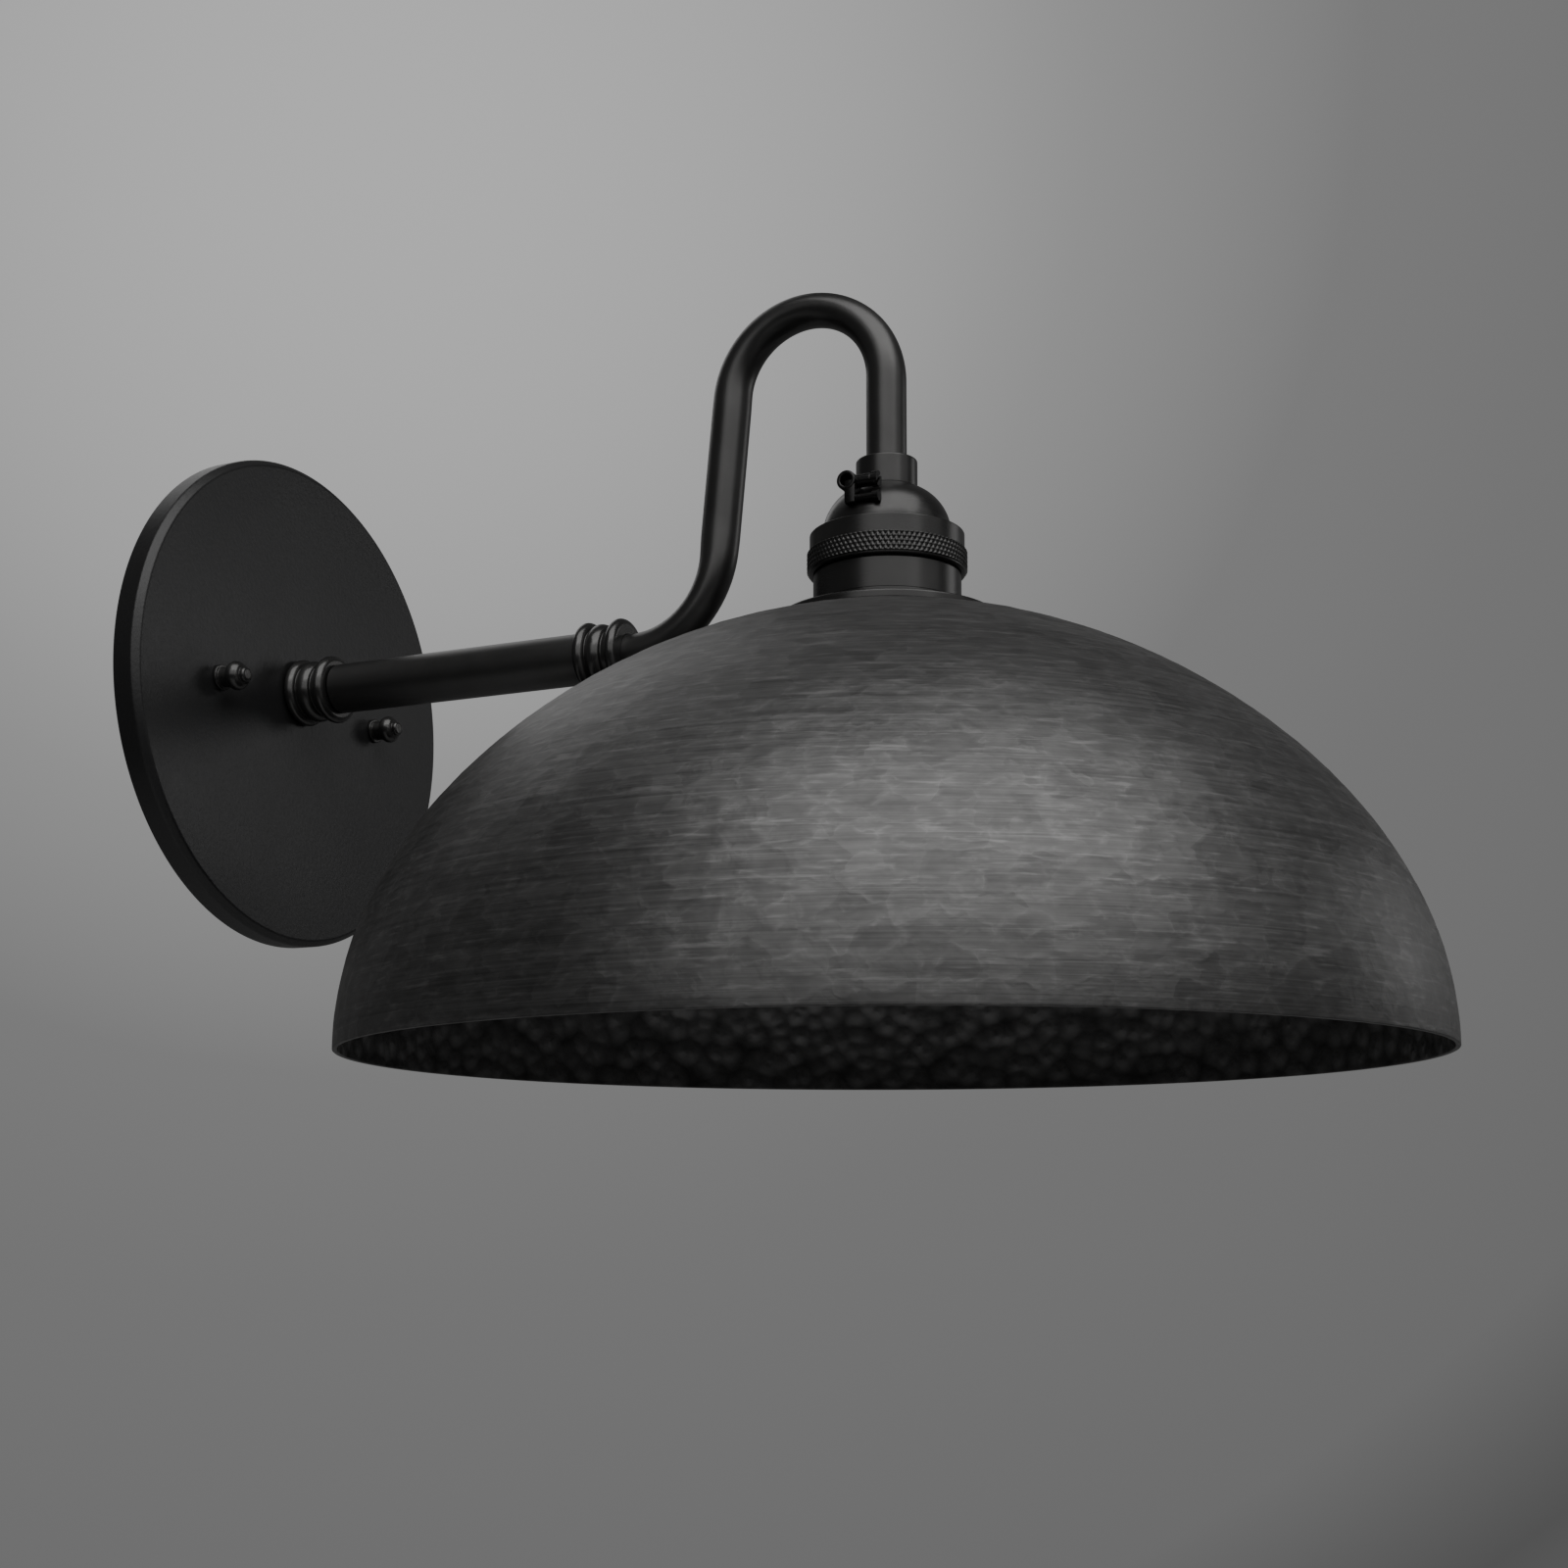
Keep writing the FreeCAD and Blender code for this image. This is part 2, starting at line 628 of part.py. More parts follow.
def gooseneck_coupling():
    """The same turning, recessed in front round the gooseneck."""
    bore = s.nipple_radius + s.thread_clearance
    front_bore = s.neck_radius + s.thread_clearance
    length = Places.coupling_length
    socket_end = length - s.thread_grip - s.recess_depth
    inside = [
        (s.recess_radius, length),
        (s.recess_radius, length - s.recess_depth),
        (front_bore, length - s.recess_depth),
        (front_bore, socket_end),
        (bore, socket_end),
    ]
    steps = [(bore, ZERO)] + coupling_outside(length) + inside
    body = turned("gooseneck_coupling", steps)
    on_wall(body, ZERO, s.arm_height, Places.gooseneck_coupling_start)
    return keep(body, "gooseneck_coupling")


def arm_core():
    """The nipples, lock nut and washer that hold plate, couplings and tube together."""
    start = Places.plate_inside - s.nipple_tail
    through = Places.tube_start + s.thread_grip
    nipple = turned(
        "arm_nipple", tube_steps(s.nipple_bore, s.nipple_radius, start, through)
    )
    on_wall(nipple, ZERO, s.arm_height, ZERO)
    keep(nipple, "arm_nipple")
    bore = s.nipple_radius + s.thread_clearance
    washer = turned("arm_washer", tube_steps(bore, s.washer_radius, ZERO, s.washer_depth))
    on_wall(washer, ZERO, s.arm_height, Places.plate_inside - s.washer_depth)
    keep(washer, "arm_washer")
    nut = hex_nut("arm_lock_nut", s.arm_nut_flats, s.arm_nut_depth, bore)
    nut_start = Places.plate_inside - s.washer_depth - s.arm_nut_depth
    on_wall(nut, ZERO, s.arm_height, nut_start)
    keep(nut, "arm_lock_nut")
    joint = Places.gooseneck_coupling_start
    second = tube_steps(
        s.nipple_bore, s.nipple_radius, joint - s.thread_grip, joint + s.thread_grip
    )
    coupling_nipple = turned("coupling_nipple", second)
    on_wall(coupling_nipple, ZERO, s.arm_height, ZERO)
    keep(coupling_nipple, "coupling_nipple")


def straight_tube():
    """The arm's straight tube, tapped at both ends for the nipples."""
    bore = s.nipple_radius + s.thread_clearance
    body = turned("straight_tube", tube_steps(bore, s.tube_radius, ZERO, s.tube_length))
    on_wall(body, ZERO, s.arm_height, Places.tube_start)
    return keep(body, "straight_tube")


def gooseneck():
    """One bent tube: out of the coupling, up the leaning leg, over and down to the holder."""
    body = new_body("gooseneck")
    p = Places
    foot = p.bend_start - p.gooseneck_start
    middle = p.arch_middle - p.gooseneck_start
    drop_end = s.seat_height + p.neck_end - s.arm_height
    route = [
        (ZERO, ZERO),
        (foot, ZERO),
        (foot + s.lower_bend * p.lean_up, p.leg_foot_up, s.lower_bend, "left"),
        (middle - s.upper_bend * p.lean_up, p.leg_head_up),
        (middle, s.arch_height, s.upper_bend, "right"),
        (middle + s.upper_bend, p.arch_centre, s.upper_bend, "right"),
        (middle + s.upper_bend, drop_end),
    ]
    path = new_sketch(body, "gooseneck_path", "XZ_Plane")
    draw(path, route, closed=False)
    section = new_sketch(body, "gooseneck_section", "YZ_Plane")
    draw_circle(section, ZERO, ZERO, s.neck_radius)
    draw_circle(section, ZERO, ZERO, s.neck_bore)
    doc.recompute()
    pipe = body.newObject("PartDesign::AdditivePipe", "gooseneck_pipe")
    pipe.Profile = section
    pipe.Spine = (path, [f"Edge{i + 1}" for i in range(len(route) - 1)])
    sideways = FreeCAD.Rotation(FreeCAD.Vector(0, 0, 1), -RIGHT_ANGLE)
    place(body, ZERO, -p.gooseneck_start, s.arm_height, sideways)
    return keep(body, "gooseneck")


# ---------------------------------------------------------------- lamp holder

def dome_reach(radius, curve, foot):
    """Height at which the dome's arc, upright at its foot, has come in to that radius."""
    centre = s.cap_skirt_radius - s.dome_curve
    across = radius - centre
    rise = Size(
        math.sqrt(curve.value**2 - across.value**2),
        f"sqrt({curve.formula} ^ 2 - {across.formula} ^ 2)",
    )
    return foot + rise


def holder_cap():
    """A turned cap: collar, dome and the flange that the union ring clamps."""
    inner_curve = s.dome_curve - s.cap_wall
    skirt_bore = s.cap_skirt_radius - s.cap_wall
    bore = s.neck_radius + s.thread_clearance
    collar_meets = dome_reach(s.collar_radius, s.dome_curve, s.dome_foot)
    crown_inside = dome_reach(bore, inner_curve, s.dome_foot)
    steps = [
        (skirt_bore, Places.clamp_bottom),
        (s.cap_clamp_radius, Places.clamp_bottom),
        (s.cap_clamp_radius, Places.clamp_top),
        (s.cap_skirt_radius, Places.clamp_top),
        (s.cap_skirt_radius, s.dome_foot),
        (s.collar_radius, collar_meets, s.dome_curve, "left"),
        (s.collar_radius, s.collar_top - s.collar_round),
        (s.collar_radius - s.collar_round, s.collar_top, s.collar_round, "left"),
        (bore, s.collar_top),
        (bore, crown_inside),
        (skirt_bore, s.dome_foot, inner_curve, "right"),
    ]
    body = turned("holder_cap", steps)
    on_holder(body)
    return keep(body, "holder_cap")


def union_ring():
    """The hand ring: a plain band and a knurled band; its lip draws the cap to the sleeve."""
    lip_bore = s.cap_skirt_radius + s.running_gap
    lip_bottom = Places.union_top - s.union_lip
    bead_bottom = s.union_bottom + s.union_chamfer
    steps = [
        (Places.union_bore, s.union_bottom),
        (s.union_bead - s.union_chamfer, s.union_bottom),
        (s.union_bead, bead_bottom),
        (s.union_bead, s.knurl_bottom),
        (s.knurl_radius, s.knurl_bottom),
        (s.knurl_radius, s.knurl_top),
        (s.union_radius, s.knurl_top),
        (s.union_radius, Places.union_top),
        (lip_bore, Places.union_top),
        (lip_bore, lip_bottom),
        (Places.union_bore, lip_bottom),
    ]
    body = turned("union_ring", steps)
    on_holder(body)
    return keep(body, "union_ring")


def shade_sleeve():
    """The sleeve: plain outside, threaded above for the union ring and below for the shade."""
    low = -s.sleeve_drop
    steps = [
        (s.sleeve_lip_radius, low),
        (s.sleeve_thread_radius, low),
        (s.sleeve_thread_radius, s.seat_ring_height),
        (s.sleeve_radius, s.seat_ring_height),
        (s.sleeve_radius, s.sleeve_shoulder),
        (s.sleeve_thread_radius, s.sleeve_shoulder),
        (s.sleeve_thread_radius, s.sleeve_top),
        (s.sleeve_bore, s.sleeve_top),
        (s.sleeve_bore, low + s.sleeve_lip_height),
        (s.sleeve_lip_radius, low + s.sleeve_lip_height),
    ]
    body = turned("shade_sleeve", steps)
    on_holder(body)
    return keep(body, "shade_sleeve")


def seat_ring():
    """Threaded under the sleeve's shoulder; its flared disc rests on the shade's land."""
    steps = [
        (Places.union_bore, s.running_gap),
        (s.seat_disc_radius, s.running_gap),
        (s.seat_disc_radius, s.seat_disc_edge),
        (s.sleeve_radius, s.seat_disc_edge + s.seat_disc_rise, s.seat_flare, "right"),
        (s.sleeve_radius, s.seat_ring_height),
        (Places.union_bore, s.seat_ring_height),
    ]
    body = turned("seat_ring", steps)
    on_holder(body)
    return keep(body, "seat_ring")


def shade_ring():
    """The ring screwed up the sleeve from inside the shade, with notches for the fingers."""
    low = Places.ring_top - s.shade_ring_height
    steps = tube_steps(Places.union_bore, s.shade_ring_radius, low, Places.ring_top)
    body = turned("shade_ring", steps)
    notch = new_sketch(body, "ring_notch", "XY_Plane")
    draw_circle(notch, s.shade_ring_radius + s.ring_notch_radius / 2, ZERO,
                s.ring_notch_radius)
    cut = cut_through(body, notch)
    around = body.newObject("PartDesign::PolarPattern", "ring_notch_pattern")
    around.Originals = [cut]
    around.Axis = (notch, ["N_Axis"])
    around.Angle = FULL_TURN
    around.Occurrences = round(s.ring_notches.value)
    around.setExpression("Occurrences", s.ring_notches.formula)
    body.Tip = around
    on_holder(body)
    return keep(body, "shade_ring")


# ---------------------------------------------------------------- socket

def porcelain_core():
    """The insulator: lamp bore below, terminal deck and chamber above."""
    radius = s.sleeve_bore - s.slip_clearance
    stem_hole = s.contact_stem + s.thread_clearance
    steps = [
        (s.core_bore, Places.core_bottom),
        (radius, Places.core_bottom),
        (radius, s.sleeve_top),
        (s.core_chamber, s.sleeve_top),
        (s.core_chamber, s.core_deck),
        (stem_hole, s.core_deck),
        (stem_hole, s.core_floor),
        (s.core_well, s.core_floor),
        (s.core_well, s.core_step),
        (s.core_bore, s.core_step),
    ]
    body = turned("porcelain_core", steps)
    holes = new_sketch(body, "core_screw_holes", "XY_Plane")
    for side in (1, -1):
        draw_circle(holes, side * s.terminal_offset, ZERO,
                    s.screw_radius + s.thread_clearance)
    cut_through(body, holes)
    on_holder(body)
    return keep(body, "porcelain_core")


def screw_shell():
    """The drawn brass shell that takes the lamp's thread, closed at the top but for a hole."""
    outside = s.shell_radius + s.shell_sheet
    low = Places.core_bottom + s.shell_sheet
    high = s.core_step - s.slip_clearance
    steps = [
        (s.shell_radius, low),
        (outside, low),
        (outside, high),
        (s.shell_hole, high),
        (s.shell_hole, high - s.shell_sheet),
        (s.shell_radius, high - s.shell_sheet),
    ]
    body = turned("screw_shell", steps)
    on_holder(body)
    return keep(body, "screw_shell")


def centre_contact():
    """The sprung plunger that meets the lamp's tip."""
    stem_end = Places.contact_stem_end
    head_end = stem_end + s.terminal_sheet
    steps = [
        (ZERO, ZERO),
        (s.contact_radius, ZERO),
        (s.contact_radius, s.contact_disc),
        (s.contact_stem, s.contact_disc),
        (s.contact_stem, stem_end - s.contact_height),
        (s.contact_head, stem_end - s.contact_height),
        (s.contact_head, head_end - s.contact_height),
        (ZERO, head_end - s.contact_height),
    ]
    body = turned("centre_contact", steps)
    on_holder(body, s.contact_height)
    return keep(body, "centre_contact")


def terminal(side, word):
    """A brass plate on the deck with its screw; the line plate also guides the plunger."""
    inner = s.terminal_offset - s.terminal_width / 2
    outer = s.terminal_offset + s.terminal_width / 2
    if side > 0:
        inner = -s.terminal_width / 2
    plate = new_body(word + "_terminal")
    sketch = new_sketch(plate, word + "_terminal_outline", "XY_Plane")
    half = s.terminal_width / 2
    near, far = (inner, outer) if side > 0 else (-outer, -inner)
    draw(sketch, [(near, -half), (far, -half), (far, half), (near, half)])
    clearance = s.thread_clearance
    draw_circle(sketch, side * s.terminal_offset, ZERO, s.screw_radius + clearance)
    if side > 0:
        draw_circle(sketch, ZERO, ZERO, s.contact_stem + clearance)
    padded(plate, sketch, s.terminal_sheet)
    on_holder(plate, s.core_deck)
    keep(plate, word + "_terminal")
    head = s.terminal_sheet + s.screw_head_height
    steps = [
        (ZERO, -s.screw_grip),
        (s.screw_radius, -s.screw_grip),
        (s.screw_radius, s.terminal_sheet),
        (s.screw_head_radius, s.terminal_sheet),
        (s.screw_head_radius, head),
        (ZERO, head),
    ]
    screw = turned(word + "_terminal_screw", steps)
    place(screw, side * s.terminal_offset, -Places.reach, s.seat_height + s.core_deck)
    keep(screw, word + "_terminal_screw")


# ---------------------------------------------------------------- earth terminal

def lug_place(piece, out, back, height, rotation=None):
    """Places a piece of the earth terminal from the holder's axis and the shade's land."""
    place(piece, -out, -Places.reach + back, s.seat_height + height, rotation)


def primitive(kind, name, **sizes):
    """A Part primitive whose properties are bound to sizes."""
    solid = doc.addObject("Part::" + kind, name)
    for prop, size in sizes.items():
        setattr(solid, prop, size.value)
        solid.setExpression(prop, size.formula)
    return solid


def dome_form():
    """The holder cap's dome as a solid form, to cut the lug's foot to it."""
    top = dome_reach(s.collar_radius, s.dome_curve, s.dome_foot)
    steps = [
        (ZERO, s.sleeve_top),
        (s.cap_skirt_radius, s.sleeve_top),
        (s.cap_skirt_radius, s.dome_foot),
        (s.collar_radius, top, s.dome_curve, "left"),
        (s.collar_radius, s.collar_top),
        (ZERO, s.collar_top),
    ]
    body = turned("dome_form", steps)
    on_holder(body)
    return body


def earth_lug():
    """A pillar terminal on the dome: wire hole to the side, screw boss across it."""
    along_x = FreeCAD.Rotation(FreeCAD.Vector(0, 1, 0), -RIGHT_ANGLE)
    inner_end = Places.lug_side - s.lug_length / 2
    outer_end = Places.lug_side + s.lug_length / 2
    height = Places.lug_height
    barrel = primitive("Cylinder", "lug_barrel", Radius=s.lug_radius, Height=s.lug_length)
    lug_place(barrel, inner_end, s.lug_back, height, along_x)
    foot = primitive("Box", "lug_foot", Length=s.lug_length, Width=s.lug_foot_width,
                     Height=s.lug_foot_depth)
    lug_place(foot, outer_end, s.lug_back - s.lug_radius, height - s.lug_foot_depth)
    boss = primitive("Cylinder", "lug_boss", Radius=s.lug_boss_radius,
                     Height=s.lug_boss_length)
    lug_place(boss, Places.lug_side, s.lug_back, height, facing_out())
    body = doc.addObject("Part::MultiFuse", "lug_body")
    body.Shapes = [barrel, foot, boss]
    bore = primitive("Cylinder", "lug_wire_hole", Radius=s.lug_bore, Height=s.lug_length)
    lug_place(bore, inner_end + s.lug_end_wall, s.lug_back, height, along_x)
    thread = primitive("Cylinder", "lug_screw_hole",
                       Radius=s.clamp_radius + s.thread_clearance,
                       Height=s.lug_boss_length)
    lug_place(thread, Places.lug_side, s.lug_back, height, facing_out())
    tools = doc.addObject("Part::MultiFuse", "lug_cuts")
    tools.Shapes = [bore, thread, dome_form()]
    cut = doc.addObject("Part::Cut", "earth_lug")
    cut.Base = body
    cut.Tool = tools
    return keep(cut, "earth_lug")


def clamp_screw():
    """The slotted screw that clamps the earth wire; its slot stands at a slant."""
    head_start = s.lug_boss_length + s.running_gap
    head_end = head_start + s.clamp_head_depth
    tip = s.lug_bore + s.hole_clearance
    steps = [
        (ZERO, tip),
        (s.clamp_radius, tip),
        (s.clamp_radius, head_start),
        (s.clamp_head_radius, head_start),
        (s.clamp_head_radius, head_end),
        (ZERO, head_end),
    ]
    body = turned("earth_clamp_screw", steps)
    slot = new_sketch(body, "clamp_slot", "YZ_Plane")
    half = s.clamp_slot / 2
    floor = head_end - s.clamp_slot
    draw(slot, [(-half, floor), (half, floor), (half, head_end), (-half, head_end)])
    cut_through(body, slot)
    slant = FreeCAD.Rotation(FreeCAD.Vector(0, 0, 1), DIAGONAL)
    lug_place(body, Places.lug_side, s.lug_back, Places.lug_height, facing_out() * slant)
    return keep(body, "earth_clamp_screw")


def lug_pin():
    """The short headed pin below the clamp screw, which holds the lug's foot."""
    head_start = s.pin_reach - s.pin_head_depth
    steps = [
        (ZERO, ZERO),
        (s.pin_radius, ZERO),
        (s.pin_radius, head_start),
        (s.pin_head_radius, head_start),
        (s.pin_head_radius, s.pin_reach),
        (ZERO, s.pin_reach),
    ]
    body = turned("earth_lug_pin", steps)
    lug_place(body, Places.pin_side, s.lug_back - s.lug_radius, Places.pin_height,
              facing_out())
    return keep(body, "earth_lug_pin")


# ---------------------------------------------------------------- shade

def shade_curve(radius, top, land):
    """The dome's section: one cubic curve from the land out and down to the rim."""
    rim = -s.shade_height.value
    crown = s.crown_fullness.value * (radius - land)
    side = s.side_fullness.value * (top - rim)
    curve = Part.BezierCurve()
    curve.setPoles([
        FreeCAD.Vector(land, 0, top),
        FreeCAD.Vector(land + crown, 0, top - s.crown_fall.value),
        FreeCAD.Vector(radius, 0, rim + side),
        FreeCAD.Vector(radius, 0, rim),
    ])
    return curve.toShape()


def shade():
    """A spun dome with a flat land round its hole and one curve down to an open rim."""
    hole = s.sleeve_thread_radius.value + s.hole_clearance.value
    land = s.shade_land.value
    sheet = s.shade_sheet.value
    rim = -s.shade_height.value
    radius = s.shade_radius.value
    outer = shade_curve(radius, 0, land)
    inner = shade_curve(radius - sheet, -sheet, land)
    corners = [
        FreeCAD.Vector(radius, 0, rim),
        FreeCAD.Vector(radius - sheet, 0, rim),
        FreeCAD.Vector(land, 0, -sheet),
        FreeCAD.Vector(hole, 0, -sheet),
        FreeCAD.Vector(hole, 0, 0),
        FreeCAD.Vector(land, 0, 0),
    ]
    edges = [
        outer,
        Part.makeLine(corners[0], corners[1]),
        inner,
        Part.makeLine(corners[2], corners[3]),
        Part.makeLine(corners[3], corners[4]),
        Part.makeLine(corners[4], corners[5]),
    ]
    section = Part.Face(Part.Wire(Part.__sortEdges__(edges)))
    upright = FreeCAD.Vector(0, 0, 1)
    dome = section.revolve(FreeCAD.Vector(0, 0, 0), upright, FULL_TURN)
    piece = doc.addObject("Part::Feature", "shade")
    piece.Shape = dome
    on_holder(piece)
    return keep(piece, "shade")


# ---------------------------------------------------------------- build, check and write

def build():
    wall_bracket()
    earth_screw()
    canopy_fasteners(-1, "left")
    canopy_fasteners(1, "right")
    backplate()
    arm_core()
    wall_coupling()
    straight_tube()
    gooseneck_coupling()
    gooseneck()
    holder_cap()
    union_ring()
    shade_sleeve()
    seat_ring()
    shade_ring()
    porcelain_core()
    screw_shell()
    centre_contact()
    terminal(1, "line")
    terminal(-1, "shell")
    earth_lug()
    clamp_screw()
    lug_pin()
    shade()
    doc.recompute()


def check():
    """Stops if an object failed or a sub-part has no valid solid."""
    for item in doc.Objects:
        if "Invalid" in item.State or "Error" in item.State:
            raise RuntimeError(f"{item.Label} did not build: {item.State}")
    for piece in finished:
        shape = piece.Shape
        if shape.isNull() or not shape.isValid() or not shape.Solids:
            raise RuntimeError(f"{piece.Label} has no valid solid")


def write():
    os.makedirs("parts", exist_ok=True)
    for piece in finished:
        piece.Shape.exportStep(f"parts/{piece.Label}.step")
    print(len(finished), "sub-parts; reach", round(Places.reach.value, 2))


build()
check()
write()
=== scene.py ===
import math

import bmesh
import bpy
import numpy as np
from mathutils import Matrix, Vector


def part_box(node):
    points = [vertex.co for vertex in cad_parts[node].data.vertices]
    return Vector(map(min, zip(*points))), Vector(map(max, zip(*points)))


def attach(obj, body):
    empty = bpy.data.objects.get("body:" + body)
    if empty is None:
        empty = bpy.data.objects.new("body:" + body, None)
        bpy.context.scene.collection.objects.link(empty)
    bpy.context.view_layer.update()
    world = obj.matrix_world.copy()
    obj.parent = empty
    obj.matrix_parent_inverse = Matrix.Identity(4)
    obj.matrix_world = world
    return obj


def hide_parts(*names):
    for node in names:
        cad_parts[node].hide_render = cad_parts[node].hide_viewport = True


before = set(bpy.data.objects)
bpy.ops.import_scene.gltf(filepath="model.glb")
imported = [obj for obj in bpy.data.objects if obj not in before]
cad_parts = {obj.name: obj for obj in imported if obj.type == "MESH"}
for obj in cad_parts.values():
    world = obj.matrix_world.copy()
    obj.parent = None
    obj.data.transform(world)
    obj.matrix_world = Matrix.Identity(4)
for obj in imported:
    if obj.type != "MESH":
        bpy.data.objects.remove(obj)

bl_info = {
    "name": "Hammered Dome Sconce",
    "version": (1, 0, 0),
    "blender": (4, 5, 0),
    "location": "3D View > Sidebar > Sconce",
    "description": "Dresses a gooseneck wall sconce with a hammered dome shade",
    "category": "Object",
}

MM = 0.001
TURN = 2 * math.pi
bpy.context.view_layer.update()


def middle_of(node):
    """The middle of a construction node's box, in metres."""
    low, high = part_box(node)
    return [(a + b) / 2 for a, b in zip(low, high)]


def wall_end(node):
    """The Y of a node's end nearest the wall, in metres."""
    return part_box(node)[1][1]


def mm(metres):
    """A length in millimetres, without the noise of its single precision."""
    return round(metres / MM, 4)


# The shade's flat land, the arm's axis and the holder's axis, from which places are measured.
LAND_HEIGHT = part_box("shade")[1][2]
ARM_HEIGHT = middle_of("straight_tube")[2]
HOLDER_OUT = -middle_of("union_ring")[1]


# ---------------- sizes and colours

def length(words, millimetres):
    return bpy.props.FloatProperty(
        name=words, description=words, default=millimetres * MM, unit="LENGTH", precision=5
    )


def angle(words, degrees):
    return bpy.props.FloatProperty(
        name=words, description=words, default=math.radians(degrees), subtype="ANGLE"
    )


def share(words, value):
    return bpy.props.FloatProperty(
        name=words, description=words, default=value, subtype="FACTOR", min=0, max=1
    )


def count(words, value):
    return bpy.props.IntProperty(name=words, description=words, default=value, min=1)


def colour(words, value):
    return bpy.props.FloatVectorProperty(
        name=words, description=words, default=value, subtype="COLOR", size=3, min=0, max=1
    )


class PlateSizes(bpy.types.PropertyGroup):
    """The backplate and its two cap nuts."""

    radius: length("Plate radius", 78)
    depth: length("Plate depth", 8.6)
    sheet: length("Plate's sheet thickness", 1.5)
    chamfer: length("Chamfer of the plate's edge", 1.8)
    cap_height: length("Height of a cap nut", 10.1)
    cap_foot: length("Foot radius of a cap nut", 4.0)
    cap_bead: length("Bead radius of a cap nut", 2.55)
    stud_hole: length("Radius of a cap nut's hole", 2.05)


class ArmSizes(bpy.types.PropertyGroup):
    """The arm tube, its two couplings and the gooseneck."""

    tube_radius: length("Arm tube, outside radius", 7.75)
    tube_bore: length("Arm tube, bore radius", 5.15)
    coupling_length: length("Length of a coupling", 14.8)
    coupling_waist: length("Waist radius of a coupling", 8.0)
    neck_radius: length("Gooseneck, outside radius", 5.8)
    neck_bore: length("Gooseneck, bore radius", 4.0)
    neck_hole: length("Radius of the holes that take the gooseneck", 5.85)
    bend_start: length("From the wall to the gooseneck's first bend", 129)
    lower_bend: length("Radius of the gooseneck's lower bend", 30)
    upper_bend: length("Radius of the gooseneck's upper bend", 24.5)
    lean: angle("Lean of the gooseneck's rising leg", 5.5)
    flattening: share("Share of its depth that the tube loses in a bend", 0.17)


class ShadeSizes(bpy.types.PropertyGroup):
    """The dome shade and the marks of its hammering."""

    radius: length("Rim radius, outside", 152.4)
    height: length("Rim to land", 123.3)
    sheet: length("Sheet thickness", 1.3)
    land: length("Radius of the flat land", 24.4)
    hole: length("Radius of the hole", 20.9)
    crown_fall: length("Fall of the crown's curve", 9.14)
    crown_fullness: share("Reach of the crown's curve", 0.496)
    side_fullness: share("Reach of the side's curve", 0.501)
    outer_blow: length("Spacing of the hammer blows outside", 8.0)
    outer_depth: length("Depth of the hammer blows outside", 0.18)
    inner_blow: length("Spacing of the lumps inside", 7.6)
    inner_depth: length("Height of the lumps inside", 0.32)
    around: count("Facets round the shade", 560)
    outer_rows: count("Facets down the outside", 92)
    inner_rows: count("Facets up the inside", 72)


class HolderSizes(bpy.types.PropertyGroup):
    """The lamp holder. Heights are told from the shade's flat land."""

    dome: length("Radius of the cap's dome", 14.45)
    collar: length("Radius of the cap's collar", 8.8)
    collar_top: length("Height of the collar's top", 47.9)
    union: length("Radius of the union ring", 22.9)
    sleeve: length("Radius of the sleeve's thread", 20.5)
    sleeve_band: length("Radius of the sleeve's plain band", 21.1)
    ring_bore: length("Bore radius of the threaded rings", 20.55)
    flange: length("Radius of the seat's flange", 31.5)
    shade_ring: length("Radius of the shade's ring", 25.5)
    notch_count: count("Notches round the shade's ring", 12)
    knurl_count: count("Diamonds round the knurl", 96)
    knurl_rows: count("Diamonds up the knurl", 2)
    knurl_depth: length("Depth of the knurl", 0.5)
    knurl_low: length("Height of the knurl's lower edge", 15.4)
    knurl_width: length("Width of the knurled band", 5.2)
    sleeve_pitch: length("Pitch of the sleeve's thread", 1.5)
    sleeve_depth: length("Depth of the sleeve's thread", 0.42)
    lamp_radius: length("Inside radius of the lamp's shell", 13.25)
    lamp_sheet: length("Sheet thickness of the lamp's shell", 0.4)
    lamp_pitch: length("Pitch of the lamp's thread", 3.63)
    lamp_depth: length("Depth of the lamp's thread", 0.55)


class FinishColours(bpy.types.PropertyGroup):
    """The finishes' main colours."""

    black: colour("Satin black", (0.010, 0.010, 0.0103))
    gunmetal: colour("Gunmetal", (0.072, 0.071, 0.070))
    steel: colour("Blackened steel", (0.105, 0.104, 0.103))
    zinc: colour("Zinc plate", (0.55, 0.55, 0.53))
    brass: colour("Brass", (0.72, 0.52, 0.25))
    glaze: colour("Porcelain glaze", (0.78, 0.77, 0.73))
    green: colour("Earth screw green", (0.03, 0.22, 0.07))


class StageSizes(bpy.types.PropertyGroup):
    """The floor and the camera's lens."""

    floor_drop: length("Floor below the wall fixing", 1000)
    floor_reach: length("Radius of the floor", 2600)
    floor_grey: colour("Floor", (0.50, 0.50, 0.50))
    lens: bpy.props.FloatProperty(
        name="Lens", description="Focal length of the camera", default=49.22, min=1
    )


# The camera's place in millimetres, and its yaw and pitch in radians.
CAMERA_PLACE = (-556.126, -431.908, -164.055)
CAMERA_AIM = (1.1453, 0.0912)
CAMERA_SHIFT = 0.15

# The room's light from the plus side of each axis, and from its minus side.
ROOM_AHEAD = (0.14, 0.10, 0.03)
ROOM_BEHIND = (0.02, 0.04, 0.04)

# The wall's grey: the way to its palest place, and stops over how nearly a look goes that way.
WALL_GLOW_WAY = (0.720, 0.517, 0.463)
WALL_GLOW = (
    (0.0, 0.42), (0.62, 0.42), (0.848, 0.09), (0.875, 0.15), (0.935, 0.178), (0.957, 0.20),
    (0.978, 0.30), (1.0, 0.515),
)

